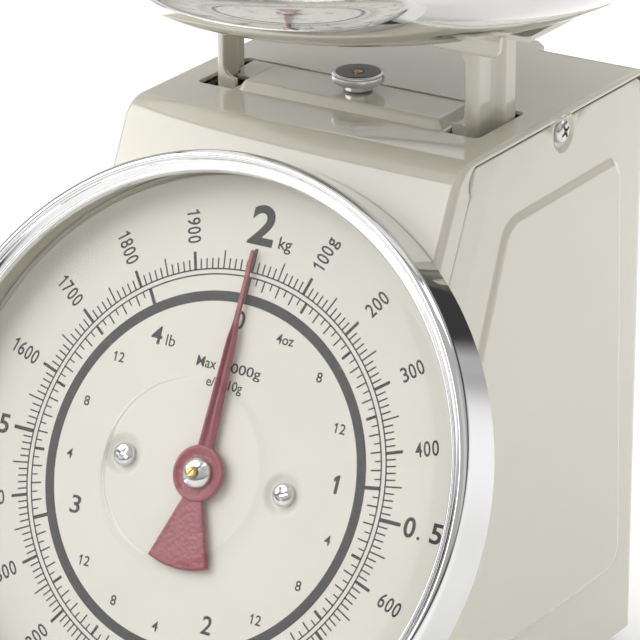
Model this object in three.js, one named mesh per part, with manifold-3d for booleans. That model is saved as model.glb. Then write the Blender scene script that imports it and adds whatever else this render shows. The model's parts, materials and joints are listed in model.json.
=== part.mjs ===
// Mechanical kitchen scale, 2 kg / 4 lb, with a polished bowl. Millimetres, +Z up.
// The front faces -Y. The origin is the centre of the bounding box, at the surface the feet stand on.
import * as THREE from 'three';
import { mergeVertices } from 'three/addons/utils/BufferGeometryUtils.js';
import Module from 'manifold-3d';

const wasm = await Module();
wasm.setup();

// ---------------------------------------------------------------- driving dimensions
const R = 56;                       // radius of the outer printed ring; the other sizes follow from it
const TILT = 26 * Math.PI / 180;    // lean of the dial face from the vertical
const ZD = 96;                      // height of the dial centre
const YC = 71.7025;                 // dial centre to bounding-box centre, along Y
const SHEET = 1.2;                  // housing sheet
const BODY_W = 54;                  // half width of the housing
const Z_TOP = ZD + 1.51 * R;        // flat top of the housing
const Z_LOW = 7.2;                  // lower edge of the housing
const Y_BACK = 148.4;               // back of the housing
const FACE_BACK = 2.8;              // front sheet behind the printed dial surface
const FOLD_R = 10.5;                // bend between the sloped front and the top
const BACK_R = 7;                   // bend between the top and the back
const RETURN_FRONT = 7.6;            // side return of the front sheet
const RETURN_TOP = 1.7;              // side return of the top sheet
const PANEL_RISE = 1.3;             // pressed panel on each side
const SLOT_X = 45.6, SLOT_Y0 = 66.5, SLOT_Y1 = 92.5;
const AXIS_Y = 1.46 * R;            // common axis of the bowl, springs and load frame
const KNOB_Y = 78.8;                // axis of the zero knob and its screw
const POST_X = 42.3, POST_T = 1.5, POST_Y0 = 70.3, POST_Y1 = 87.9, POST_R = 3.0;
const JOG_X = 44.9, JOG_Y0 = 80.3, JOG_Y1 = 82.6;   // the web steps outwards behind its middle
const FLANGE_X = 39.0;              // free edge of the front flange
const PLATE_Z = ZD + 2.05 * R;      // top of the bowl platform
const PLATE_X = 59.3, PLATE_Y0 = 67.2, PLATE_Y1 = 95.6, PLATE_T = 1.5, LIP_H = 7.1, LIP_X = 51.5;
const CROSS_Z0 = 38, CROSS_Z1 = 44;
const TRAVEL = 15.08;               // platform travel at full load
const TEETH = 12;                   // pinion teeth
const MODULE = TRAVEL * Math.cos(TILT) / (Math.PI * TEETH);
const LINK_TILT = 8.6 * Math.PI / 180;
const LINK_Y = 132, LINK_L = 132 - AXIS_Y;

// ---------------------------------------------------------------- materials
const mat = (color, roughness, metalness, extra = {}) =>
  new THREE.MeshStandardMaterial({ color, roughness, metalness, ...extra });
const cream = mat(0xd3cfc0, 0.22, 0.0);
const dialCream = mat(0xcfccbb, 0.5, 0.0);
const chrome = mat(0xd8d8d8, 0.06, 1.0);
const polished = mat(0xcfcfcf, 0.05, 1.0);
const steel = mat(0xa9aaac, 0.35, 1.0);
const zinc = mat(0x9b9d9c, 0.45, 1.0);
const brass = mat(0xb48a3c, 0.3, 1.0);
const red = mat(0x8e2f38, 0.55, 0.0);
const rubber = mat(0x2a2a2a, 0.8, 0.0);
const clear = mat(0xf4f6f4, 0.03, 0.0, { transparent: true, opacity: 0.2 });
const springSteel = mat(0x8b8d90, 0.3, 1.0);

// ---------------------------------------------------------------- solids
function solid(geometry) {
  const g = geometry.index ? geometry.toNonIndexed() : geometry.clone();
  for (const k of Object.keys(g.attributes)) if (k !== 'position') g.deleteAttribute(k);
  const m = mergeVertices(g, 1e-4);
  const p = m.attributes.position.array, idx = m.index.array, tri = [];
  for (let i = 0; i < idx.length; i += 3) {
    const [a, b, c] = [idx[i], idx[i + 1], idx[i + 2]];
    if (a !== b && b !== c && a !== c) tri.push(a, b, c);
  }
  let man = new wasm.Manifold(new wasm.Mesh({ numProp: 3, vertProperties: new Float32Array(p), triVerts: new Uint32Array(tri) }));
  if (man.volume() < 0) {
    for (let i = 0; i < tri.length; i += 3) [tri[i], tri[i + 1]] = [tri[i + 1], tri[i]];
    man = new wasm.Manifold(new wasm.Mesh({ numProp: 3, vertProperties: new Float32Array(p), triVerts: new Uint32Array(tri) }));
  }
  return man;
}
const box = (x0, x1, y0, y1, z0, z1) => {
  const g = new THREE.BoxGeometry(x1 - x0, y1 - y0, z1 - z0);
  g.translate((x0 + x1) / 2, (y0 + y1) / 2, (z0 + z1) / 2);
  return solid(g);
};
const shapeOf = (pts) => new THREE.Shape(pts.map(([a, b]) => new THREE.Vector2(a, b)));
// prism along Z from a polygon in XY
const prismZ = (pts, z0, z1) => {
  const g = new THREE.ExtrudeGeometry(shapeOf(pts), { depth: z1 - z0, bevelEnabled: false, curveSegments: 6 });
  g.translate(0, 0, z0);
  return solid(g);
};
// prism along X from a polygon in YZ
const prismX = (pts, x0, x1) => {
  const g = new THREE.ExtrudeGeometry(shapeOf(pts), { depth: x1 - x0, bevelEnabled: false });
  const m = new THREE.Matrix4().set(0, 0, 1, x0, 1, 0, 0, 0, 0, 1, 0, 0, 0, 0, 0, 1);
  g.applyMatrix4(m);
  return solid(g);
};
// prism along Y from a polygon in XZ
const prismY = (pts, y0, y1) => {
  const g = new THREE.ExtrudeGeometry(shapeOf(pts), { depth: y1 - y0, bevelEnabled: false });
  const m = new THREE.Matrix4().set(1, 0, 0, 0, 0, 0, 1, y0, 0, 1, 0, 0, 0, 0, 0, 1);
  g.applyMatrix4(m);
  return solid(g);
};
// revolved about Z from [radius, z] pairs; the profile closes on itself or on the axis
const turn = (pts, seg = 48) => {
  const g = new THREE.LatheGeometry(pts.map(([r, z]) => new THREE.Vector2(r, z)), seg);
  g.rotateX(Math.PI / 2);
  return solid(g);
};
const rod = (r, z0, z1, seg = 20) => turn([[0, z0], [r, z0], [r, z1], [0, z1]], seg);
const ring = (ri, ro, z0, z1, seg = 32) => turn([[ri, z0], [ro, z0], [ro, z1], [ri, z1], [ri, z0]], seg);
const rodX = (r, x0, x1, y, z, seg = 16) => {
  const g = new THREE.CylinderGeometry(r, r, x1 - x0, seg);
  g.rotateZ(Math.PI / 2);
  g.translate((x0 + x1) / 2, y, z);
  return solid(g);
};
const arc = (cx, cy, r, a0, a1, n = 5) => Array.from({ length: n + 1 }, (_, i) => {
  const a = (a0 + (a1 - a0) * i / n) * Math.PI / 180;
  return [cx + r * Math.cos(a), cy + r * Math.sin(a)];
});
const roundRect = (x0, x1, y0, y1, r, n = 3) => [
  ...arc(x1 - r, y0 + r, r, -90, 0, n), ...arc(x1 - r, y1 - r, r, 0, 90, n),
  ...arc(x0 + r, y1 - r, r, 90, 180, n), ...arc(x0 + r, y0 + r, r, 180, 270, n)];

const scale = new THREE.Group();
scale.position.set(0, -YC, 0);
const dialGroup = new THREE.Group();            // local z = outward normal of the dial, local y = up the face
dialGroup.position.set(0, 0, ZD);
dialGroup.rotation.x = Math.PI / 2 - TILT;
scale.add(dialGroup);

function put(name, manifold, material, parent = scale) {
  const m = manifold.getMesh();
  const g = new THREE.BufferGeometry();
  g.setAttribute('position', new THREE.BufferAttribute(new Float32Array(m.vertProperties), 3));
  g.setIndex(new THREE.BufferAttribute(new Uint32Array(m.triVerts), 1));
  const mesh = new THREE.Mesh(g, material);
  mesh.name = name;
  parent.add(mesh);
  return mesh;
}

// ---------------------------------------------------------------- housing outline in YZ, moved inwards by d
const frontY = (z, d = 0) => (z - ZD) * Math.tan(TILT) + (FACE_BACK + d) / Math.cos(TILT);
function bodyOutline(d, zLow, rFold = FOLD_R - d, rBack = BACK_R - d) {
  const zt = Z_TOP - d, yb = Y_BACK - d, yf = frontY(zt, d);
  const half = (Math.PI / 2 - TILT) / 2;                 // half of the turn from front to top
  const t = rFold * Math.tan(half);
  const cy = yf + t, cz = zt - rFold;                    // fold centre
  const a0 = 180 - TILT * 180 / Math.PI, a1 = 90;
  return [
    [frontY(zLow, d), zLow],
    [yb, zLow],
    ...arc(yb - rBack, zt - rBack, rBack, 0, 90, 4),
    ...arc(cy, cz, rFold, a1, a0, 5)];
}

// front and top in one folded sheet, with short side returns
{
  const outer = prismX(bodyOutline(0, Z_LOW), -BODY_W, BODY_W);
  const inner = prismX(bodyOutline(SHEET, -5), -BODY_W + SHEET, BODY_W - SHEET);
  const rest = prismX([
    [frontY(-10, RETURN_FRONT), -10], [170, -10], [170, Z_TOP - 8], [Y_BACK - 7, Z_TOP - 8], [Y_BACK - 7, Z_TOP - RETURN_TOP],
    [frontY(Z_TOP - RETURN_TOP, RETURN_FRONT) + 4, Z_TOP - RETURN_TOP],
    [frontY(Z_TOP - RETURN_TOP - 5, RETURN_FRONT), Z_TOP - RETURN_TOP - 5]], -80, 80);
  const opening = prismZ(roundRect(-SLOT_X, SLOT_X, SLOT_Y0, SLOT_Y1, 2), Z_TOP - 12, Z_TOP + 5);
  const tongue = prismZ([[-21, Y_BACK - 9], [21, Y_BACK - 9], [21, Y_BACK - 2.4], [16.8, Y_BACK + 1.4], [-16.8, Y_BACK + 1.4], [-21, Y_BACK - 2.4]], Z_TOP - SHEET, Z_TOP);
  // three holes behind the dial: the shaft bush and the two dial screws
  let holes = rod(6.2, -15, 5, 24);
  for (const s of [-1, 1]) holes = holes.add(rod(4.8, -15, 5, 16).translate([s * 0.46 * R, 0, 0]));
  holes = holes.rotate([90 - TILT * 180 / Math.PI, 0, 0]).translate([0, 0, ZD]);
  put('front_shell', outer.subtract(inner).subtract(rest).subtract(opening).add(tongue).subtract(holes), cream);
}
// sides and back in one U-shaped sheet, with a pressed panel on each side
const SIDE_SCREW_Y = 98.0, SIDE_SCREW_Z = ZD + 1.395 * R;
const PANEL = [[1.165, 1.085], [1.27, 1.13], [2.26, 1.136], [2.345, 1.05], [2.43, -1.08], [2.33, -1.18], [0.36, -1.18], [0.30, -1.10]]
  .map(([y, z]) => [y * R, ZD + z * R]);
{
  const w = BODY_W;
  const outer = prismX(bodyOutline(0, Z_LOW), -w, w);
  const inner = prismX(bodyOutline(SHEET, -5), -w + SHEET, w - SHEET);
  const region = prismX([
    [frontY(Z_LOW, RETURN_FRONT + 0.4), Z_LOW], [170, Z_LOW], [170, Z_TOP - 8.4], [Y_BACK - 7.4, Z_TOP - 8.4], [Y_BACK - 7.4, Z_TOP - RETURN_TOP - 0.4],
    [frontY(Z_TOP - RETURN_TOP - 0.4, RETURN_FRONT) + 4.3, Z_TOP - RETURN_TOP - 0.4],
    [frontY(Z_TOP - RETURN_TOP - 5.4, RETURN_FRONT + 0.4), Z_TOP - RETURN_TOP - 5.4]], -80, 80);
  let cover = outer.subtract(inner).intersect(region);
  // the panels are pressed outwards, hollow behind
  const inset = PANEL.map(([y, z]) => { const cy = 1.45 * R, cz = ZD; return [cy + (y - cy) * 0.955, cz + (z - cz) * 0.965]; });
  const rise = prismX(PANEL, w - 0.6, w + PANEL_RISE).subtract(prismX(inset, w - 3, w + PANEL_RISE - SHEET));
  const recess = prismX(inset, w - 3, w + PANEL_RISE - SHEET);
  cover = cover.subtract(recess).add(rise).subtract(recess.mirror([1, 0, 0])).add(rise.mirror([1, 0, 0]));
  cover = cover.subtract(rodX(2.0, -80, 80, SIDE_SCREW_Y, SIDE_SCREW_Z));
  put('rear_cover', cover, cream);
}
for (const [side, s] of [['left', -1], ['right', 1]]) {
  const xs = s * (BODY_W + 0.3);
  let screw = rodX(3.4, Math.min(xs, xs + s * 1.9), Math.max(xs, xs + s * 1.9), SIDE_SCREW_Y, SIDE_SCREW_Z, 20);
  screw = screw.add(rodX(1.6, Math.min(s * 46.0, xs + s), Math.max(s * 46.0, xs + s), SIDE_SCREW_Y, SIDE_SCREW_Z, 12));
  put(`side_screw_${side}`, screw, zinc);
}

// base plate, feet and foot screws
const FEET = [['front_left', -42, -18], ['front_right', 42, -18], ['rear_left', -42, 130], ['rear_right', 42, 130]];
{
  let base = prismZ([[-52.2, -30], [52.2, -30], [52.2, 146.6], [-52.2, 146.6]], 8.6, 10.1);
  base = base.add(box(-52.2, 52.2, 145.1, 146.6, 10.0, 22)).add(box(-52.2, 52.2, -29.9, -28.4, 10.0, 15));
  for (const [, x, y] of FEET) base = base.subtract(rod(2.1, 5, 15, 14).translate([x, y, 0]));
  put('base_plate', base, zinc);
}
for (const [n, x, y] of FEET) {
  const foot = turn([[2.2, 4.4], [4.6, 4.4], [4.6, 0], [6.6, 0], [7.2, 0.7], [7.8, 8.3], [2.2, 8.3], [2.2, 4.4]], 18);
  put(`foot_${n}`, foot.translate([x, y, 0]), rubber);
  const sc = turn([[0, 2.0], [3.2, 2.0], [3.6, 2.7], [3.6, 4.1], [1.8, 4.1], [1.8, 14], [0, 14]], 12);
  put(`foot_screw_${n}`, sc.translate([x, y, 0]), zinc);
}

// ---------------------------------------------------------------- internal frame
for (const [side, s] of [['left', -1], ['right', 1]]) {
  const x0 = Math.min(s * 47.6, s * 49.2), x1 = Math.max(s * 47.6, s * 49.2);
  let plate = prismX([[6, 10.6], [139, 10.6], [139, 60], [139, 120], [139, 176.4], [56, 176.4], [46, 165], [20, 110], [6, 60]], x0, x1);
  const f0 = Math.min(s * 47.6, s * 36), f1 = Math.max(s * 47.6, s * 36);
  plate = plate.add(box(f0, f1, 137.4, 139, 20, 100));
  for (const z of [56, 128]) plate = plate.subtract(rodX(2.35, s > 0 ? 40 : -60, s > 0 ? 60 : -40, LINK_Y, z));
  plate = plate.subtract(rodX(1.9, s > 0 ? 40 : -60, s > 0 ? 60 : -40, SIDE_SCREW_Y, SIDE_SCREW_Z));
  put(`frame_${side}`, plate, zinc);
}
// plate behind the dial that carries the pointer shaft, with a bridge for the rear bush
{
  let p = prismZ(roundRect(-46.8, 46.8, -50, 60, 5), -8.6, -7.1);
  p = p.subtract(rod(4.2, -12, 0, 24));
  for (const s of [-1, 1]) p = p.subtract(rod(1.9, -12, 0, 14).translate([s * 0.46 * R, 0, 0]));
  put('chassis_plate', p, zinc, dialGroup);
  let b = box(-16, 12, -9, 9, -28.9, -27.4).subtract(rod(3.3, -40, -20, 24));
  b = b.add(box(-17.4, -15.9, -9, 9, -28.9, -8.9)).add(box(-23, -15.9, -9, 9, -10.4, -8.9));
  put('movement_bridge', b, zinc, dialGroup);
}
put('front_bush', ring(1.56, 3.9, -11.6, -6.6, 24).add(ring(1.56, 5.4, -11.6, -8.9, 24)), brass, dialGroup);
put('rear_bush', ring(1.56, 3.0, -31.0, -25.8, 24).add(ring(1.56, 4.4, -31.0, -29.2, 24)), brass, dialGroup);

// pivot rods across the frame for the parallel-motion links
for (const [n, z] of [['lower', 56], ['upper', 128]]) put(`${n}_pivot_rod`, rodX(2.0, -50.4, 50.4, LINK_Y, z, 24), steel);

// ---------------------------------------------------------------- dial, lens and bezel
{
  let pan = turn([[6.2, -2.5], [84.9, -2.5], [84.9, 8.0], [83.9, 8.0], [83.9, -1.8], [6.2, -1.8], [6.2, -2.5]], 48);
  for (const s of [-1, 1]) pan = pan.subtract(rod(7.0, -6, 0, 16).translate([s * 0.46 * R, 0, 0]));
  put('dial_pan', pan, cream, dialGroup);
  let dial = turn([[0, -0.8], [81.0, -0.8], [81.0, -1.5], [82.0, -1.5], [82.0, 0], [0, 0]], 48).subtract(rod(2.4, -5, 5, 16));
  for (const s of [-1, 1]) {
    const x = s * 0.46 * R;
    dial = dial.subtract(turn([[0, -1.2], [3.4, -1.2], [6.2, 0.2], [0, 0.2]], 16).translate([x, 0, 0]));
    dial = dial.add(turn([[1.8, -2.0], [5.2, -2.0], [6.6, -0.5], [5.8, -0.01], [3.4, -1.2], [1.8, -1.2], [1.8, -2.0]], 16).translate([x, 0, 0]));
    dial = dial.subtract(rod(1.8, -5, 5, 14).translate([x, 0, 0]));
  }
  put('dial_plate', dial, dialCream, dialGroup);
}
for (const [side, s] of [['left', -1], ['right', 1]]) {
  const x = s * 0.46 * R;
  const sc = turn([[0, -13], [1.55, -13], [1.55, -0.9], [3.25, -0.9], [3.3, -0.2], [2.9, 0.6], [1.9, 1.15], [0, 1.35]], 16)
    .subtract(box(-0.32, 0.32, -1.7, 1.7, 0.35, 3)).subtract(box(-1.7, 1.7, -0.32, 0.32, 0.35, 3));
  put(`dial_screw_${side}`, sc.translate([x, 0, 0]), zinc, dialGroup);
  put(`dial_spacer_${side}`, ring(1.9, 4.2, -6.8, -2.3, 16).translate([x, 0, 0]), zinc, dialGroup);
}
put('lens', turn([[0, 10.9], [24.6, 10.8], [26.4, 9.7], [76, 9.4], [80, 8.4], [84.5, 8.3], [84.5, 9.4], [80.2, 9.5], [76.3, 10.6], [27.2, 10.9], [25.2, 12.0], [0, 12.1]], 48), clear, dialGroup);
put('bezel', turn([[85.3, -2.5], [86.8, -2.5], [86.8, 12.3], [86.2, 13.8], [85.1, 14.4], [84.3, 13.8], [83.7, 12.4], [82.2, 11.5], [81.8, 11.9], [81.1, 11.6],
  [80.6, 10.5], [80.6, 9.8], [84.6, 9.8], [85.3, 9.0], [85.3, -2.5]], 56), chrome, dialGroup);

// ---------------------------------------------------------------- pointer
{
  const deg = Math.PI / 180, z0 = 1.5, z1 = 2.5;
  const armHalf = [[3.4, 2.5], [37.5, 1.45], [39.8, 1.2], [42.6, 0.65], [61.8, 0.45]];
  const arm = prismZ([...armHalf.map(([y, x]) => [x, y]), ...armHalf.slice().reverse().map(([y, x]) => [-x, y])], z0, z1);
  const apex = 0.087 * R, rEnd = 0.469 * R;
  const tail = [[-1.5, -3.4]];
  for (let i = 0; i <= 8; i++) { const a = (-21.4 + 42.8 * i / 8) * deg; tail.push([rEnd * Math.sin(a), -rEnd * Math.cos(a)]); }
  tail.push([1.5, -3.4]);
  let p = arm.add(prismZ(tail, z0, z1)).add(rod(7.7, z0, z1, 28)).subtract(rod(1.6, 0, 5, 16));
  put('pointer', p, red, dialGroup);
  let dome = turn([[1.62, 2.75], [4.3, 2.75], [4.35, 3.4], [3.9, 4.4], [2.8, 5.0], [1.62, 5.2], [1.62, 2.75]], 20);
  dome = dome.subtract(box(-5, 5, -0.4, 0.4, 4.2, 6));
  put('dome_screw', dome, steel, dialGroup);
}
put('pointer_shaft', turn([[0, -32.5], [1.5, -32.5], [1.5, 6.4], [1.1, 6.9], [0, 6.9]], 24).subtract(box(-0.25, 0.25, -2, 2, 6.3, 8)), brass, dialGroup);
{
  // pinion on the shaft: trapezoid teeth with clearance
  const rp = MODULE * TEETH / 2, ra = rp + MODULE * 0.72, rf = rp - MODULE * 1.05, pts = [];
  for (let i = 0; i < TEETH; i++) {
    const c = (i + 0.5) * 2 * Math.PI / TEETH + Math.PI / 2;   // a gap faces the rack side at rest
    const w = 2 * Math.PI / TEETH;
    for (const [r, f] of [[rf, -0.27], [ra, -0.09], [ra, 0.09], [rf, 0.27]]) pts.push([r * Math.cos(c + f * w), r * Math.sin(c + f * w)]);
  }
  const pin = prismZ(pts, -25.2, -12.4).subtract(rod(1.53, -40, 0, 20));
  put('pinion', pin, brass, dialGroup);
}

// ---------------------------------------------------------------- load frame: posts, crossbar, platform, rack
const post = (s) => {
  const X = POST_X, xi = FLANGE_X - 0.3, r = POST_R, t = POST_T;
  const pts = [
    [FLANGE_X, POST_Y0], ...arc(X - r, POST_Y0 + r, r, -90, 0, 5), [X, JOG_Y0], [JOG_X, JOG_Y1], [JOG_X, POST_Y1],
    [JOG_X - t, POST_Y1], [JOG_X - t, JOG_Y1 + 0.6], [X - t, JOG_Y0 + 0.6], ...arc(X - r, POST_Y0 + r, r - t, 0, -90, 4), [FLANGE_X, POST_Y0 + t]];
  let p = prismZ(pts, CROSS_Z0, PLATE_Z - PLATE_T - 0.3);
  // the front flange widens at the foot and under the platform
  const zt = Z_TOP, foot = [[FLANGE_X + 0.4, zt + 5.3], ...arc(35.1, zt + 5.3, 3.9, 0, -90, 5), [35.1, zt - 20], [FLANGE_X + 0.4, zt - 24]];
  const head = [[FLANGE_X + 0.4, PLATE_Z - 12], [FLANGE_X, PLATE_Z - 12], [38.3, PLATE_Z - 9.6], [37.4, PLATE_Z - 8.2], [36.5, PLATE_Z - 7.5], [36.5, PLATE_Z - 1.8], [FLANGE_X + 0.4, PLATE_Z - 1.8]];
  for (const q of [foot, head]) p = p.add(prismY(q, POST_Y0, POST_Y0 + t));
  for (const z of [56, 128]) p = p.add(rodX(2.0, 34.5, POST_X + 0.3, AXIS_Y, z + LINK_L * Math.sin(LINK_TILT), 14));
  return s > 0 ? p : p.mirror([1, 0, 0]);
};
put('post_right', post(1), cream);
put('post_left', post(-1), cream);
{
  let bar = box(-40.4, 40.4, 77.5, 86.1, CROSS_Z0, CROSS_Z0 + 1.5).add(box(-40.4, 40.4, 77.5, 79.0, CROSS_Z0, CROSS_Z1));
  for (const s of [-1, 1]) bar = bar.add(ring(1.4, 3.2, -1.0, 1.0, 16).rotate([90, 0, 0]).translate([s * 20, AXIS_Y, 41.8]));
  put('lower_crossbar', bar, zinc);
  // arm that reaches forward from the posts to the rack
  let arm = box(-39.5, 39.5, 72.2, 73.7, 158, 168).add(box(2.2, 9.2, 47.5, 73.0, 162, 163.5));
  put('rack_arm', arm, zinc);
}
{
  // platform with a turned-down lip along the front
  let p = prismZ(roundRect(-PLATE_X, PLATE_X, PLATE_Y0 + 1.8, PLATE_Y1, 2.2), PLATE_Z - PLATE_T, PLATE_Z);
  p = p.add(box(-LIP_X, LIP_X, PLATE_Y0, PLATE_Y0 + 2.2, PLATE_Z - PLATE_T, PLATE_Z));
  const lip = [[-LIP_X, PLATE_Z - 0.5], [LIP_X, PLATE_Z - 0.5], ...arc(LIP_X - 2.5, PLATE_Z - LIP_H + 2.5, 2.5, 0, -90, 3), ...arc(-LIP_X + 2.5, PLATE_Z - LIP_H + 2.5, 2.5, -90, -180, 3)];
  p = p.add(prismY(lip, PLATE_Y0, PLATE_Y0 + PLATE_T));
  put('platform', p, cream);
}
{
  // rack, parallel to the dial, teeth towards the pinion
  const rp = MODULE * TEETH / 2, pitch = Math.PI * MODULE, n = 17, pts = [];
  const tip = rp + MODULE * 0.72 + 0.18, root = tip + MODULE * 1.7;
  for (let i = 0; i < n; i++) {
    const c = (i - 2) * pitch;                     // a tooth stands at the pinion's centre height
    for (const [x, f] of [[root, -0.26], [tip, -0.10], [tip, 0.10], [root, 0.26]]) pts.push([x, c + f * pitch]);
  }
  const yTop = pts[pts.length - 1][1];
  pts.push([root, yTop + 1], [7.4, yTop + 2], [7.4, (-2) * pitch - 1], [root, (-2) * pitch - 1]);
  let rack = prismZ(pts, -16.4, -13.4);
  rack = rack.add(prismZ([[3.8, yTop], [7.4, yTop], [7.4, 79.8], [3.8, 79.8]], -16.4, -14.4));
  put('rack', rack, steel, dialGroup);
}

// parallel-motion links: U-shaped, hinged on the rear rods, forks open around the post pins
for (const [n, z] of [['lower', 56], ['upper', 128]]) {
  // drawn level with the rear eye at the origin and the fork towards -Y, then tipped up by the link angle
  const plan = [[-37.6, -LINK_L - 4], [-35.8, -LINK_L - 4], [-35.8, -8], [35.8, -8], [35.8, -LINK_L - 4], [37.6, -LINK_L - 4], [37.6, 4.5], [35.8, 4.5], [35.8, -6.2], [-35.8, -6.2], [-35.8, 4.5], [-37.6, 4.5]];
  let link = prismZ(plan, -4.6, 4.6);
  link = link.subtract(rodX(2.07, -60, 60, 0, 0, 24));
  link = link.subtract(rodX(2.75, -60, 60, -LINK_L, 0, 16)).subtract(box(-60, 60, -LINK_L - 12, -LINK_L, -2.75, 2.75));
  link = link.rotate([-LINK_TILT * 180 / Math.PI, 0, 0]).translate([0, LINK_Y, z]);
  put(`${n}_link`, link, zinc);
}

// ---------------------------------------------------------------- zero adjustment
const KNOB_Z = Z_TOP + 2.3;
{
  // plate closing the opening between the posts, with a raised plateau
  const half = [[34.3, 66.9], [34.3, 78.4], [40.3, 78.4], [40.3, 81.1], [43.0, 83.5], [43.0, 92.0]];
  const out = [...half, ...half.slice().reverse().map(([x, y]) => [-x, y])];
  let p = prismZ(out, Z_TOP - 1.6, Z_TOP - 0.3);
  const g = new THREE.BufferGeometry();
  const b = [[-33.4, 67.6], [33.4, 67.6], [33.4, 88.6], [-33.4, 88.6]], t = [[-30.6, 70.0], [30.6, 70.0], [30.6, 86.0], [-30.6, 86.0]];
  const v = [...b.map(([x, y]) => [x, y, Z_TOP - 0.6]), ...t.map(([x, y]) => [x, y, Z_TOP + 2.3])].flat();
  g.setAttribute('position', new THREE.BufferAttribute(new Float32Array(v), 3));
  g.setIndex([0, 2, 1, 0, 3, 2, 4, 5, 6, 4, 6, 7, 0, 1, 5, 0, 5, 4, 1, 2, 6, 1, 6, 5, 2, 3, 7, 2, 7, 6, 3, 0, 4, 3, 4, 7]);
  p = p.add(solid(g));
  p = p.subtract(box(-31, 31, 70.4, 85.6, Z_TOP - 3, Z_TOP + 1.0));
  p = p.subtract(rod(2.0, 100, 300, 18).translate([0, KNOB_Y, 0]));
  put('zero_plate', p, cream);
}
put('zero_plate_bracket', box(-46.6, 46.6, 94.0, 97.0, Z_TOP - 4.6, Z_TOP - 2.0).add(box(-34, 34, 86.0, 94.4, Z_TOP - 4.6, Z_TOP - 2.0)), zinc);
{
  const n = 36, ro = 7.0, ri = 6.6, pts = [];
  for (let i = 0; i < n; i++) {
    const a = i * 2 * Math.PI / n, w = Math.PI / n;
    pts.push([ro * Math.cos(a - w * 0.4), ro * Math.sin(a - w * 0.4)], [ro * Math.cos(a + w * 0.4), ro * Math.sin(a + w * 0.4)], [ri * Math.cos(a + w), ri * Math.sin(a + w)]);
  }
  let k = prismZ(pts, KNOB_Z + 3.4, KNOB_Z + 5.3).add(rod(4.1, KNOB_Z + 0.3, KNOB_Z + 3.6, 28));
  k = k.subtract(rod(1.52, 0, 400, 24));
  put('zero_knob', k.translate([0, KNOB_Y, 0]), steel);
  put('zero_screw', turn([[0, 152.4], [1.45, 152.4], [1.45, KNOB_Z + 5.2], [1.1, KNOB_Z + 5.5], [0, KNOB_Z + 5.5]], 24).translate([0, KNOB_Y, 0]), brass);
  let h = box(-25, 25, KNOB_Y - 4, AXIS_Y + 4, 147.5, 149.5).add(rod(4.2, 147.5, 151.8, 20).translate([0, KNOB_Y, 0])).subtract(rod(1.5, 151.0, 160, 16).translate([0, KNOB_Y, 0]));
  for (const s of [-1, 1]) h = h.add(ring(1.4, 3.2, -1.0, 1.0, 16).rotate([90, 0, 0]).translate([s * 20, AXIS_Y, 144.8]));
  put('spring_hanger', h, zinc);
}
// two load springs
class Helix extends THREE.Curve {
  constructor(r, z0, z1, turns) { super(); Object.assign(this, { r, z0, z1, turns }); }
  getPoint(t, target = new THREE.Vector3()) {
    const a = t * this.turns * 2 * Math.PI;
    return target.set(this.r * Math.cos(a), this.r * Math.sin(a), this.z0 + (this.z1 - this.z0) * t);
  }
}
for (const [side, s] of [['left', -1], ['right', 1]]) {
  const sec = Array.from({ length: 5 }, (_, i) => new THREE.Vector2(0.75 * Math.cos(i * Math.PI * 0.4), 0.75 * Math.sin(i * Math.PI * 0.4)));
  const g = new THREE.ExtrudeGeometry(new THREE.Shape(sec), { steps: 90, bevelEnabled: false, extrudePath: new Helix(5.2, 47.0, 139.6, 9) });
  g.translate(s * 20, AXIS_Y, 0);
  put(`load_spring_${side}`, solid(g), springSteel);
}

// ---------------------------------------------------------------- bowl
{
  const z0 = PLATE_Z + 0.35, r0 = 35.8, rho = 100.8, th1 = 30, rho2 = 44.8, th2 = 75, wall = 13.6, t = 0.9, out = [];
  const rad = Math.PI / 180;
  out.push([0, z0]);
  for (let i = 0; i <= 4; i++) { const a = th1 * i / 4 * rad; out.push([r0 + rho * Math.sin(a), z0 + rho * (1 - Math.cos(a))]); }
  const [r1, z1] = out[out.length - 1], cx = r1 - rho2 * Math.sin(th1 * rad), cz = z1 + rho2 * Math.cos(th1 * rad);
  for (let i = 1; i <= 5; i++) { const a = (th1 + (th2 - th1) * i / 5) * rad; out.push([cx + rho2 * Math.sin(a), cz - rho2 * Math.cos(a)]); }
  const [r2, z2] = out[out.length - 1];
  const e = [r2 + wall * Math.cos(th2 * rad), z2 + wall * Math.sin(th2 * rad)];
  out.push(e, [e[0] + 1.2, e[1] + 0.3], [e[0] + 1.3, e[1] + 1.6], [e[0] + 0.2, e[1] + 2.2], [e[0] - 0.9, e[1] + 1.6]);
  // inside surface
  const inn = [];
  for (let i = 5; i >= 1; i--) { const a = (th1 + (th2 - th1) * i / 5) * rad; inn.push([cx + (rho2 - t) * Math.sin(a), cz - (rho2 - t) * Math.cos(a)]); }
  for (let i = 4; i >= 0; i--) { const a = th1 * i / 4 * rad; inn.push([r0 + (rho - t) * Math.sin(a), z0 + rho - (rho - t) * Math.cos(a)]); }
  inn.push([0, z0 + t]);
  put('bowl', turn([...out, ...inn], 44).translate([0, AXIS_Y, 0]), polished);
}

export default scale;
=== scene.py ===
# Mechanical kitchen scale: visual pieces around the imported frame. Metres; the numbers below are millimetres times MM.
import json
import math

import bpy
import bmesh
import numpy as np
from mathutils import Matrix, Vector
from mathutils.geometry import delaunay_2d_cdt

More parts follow.
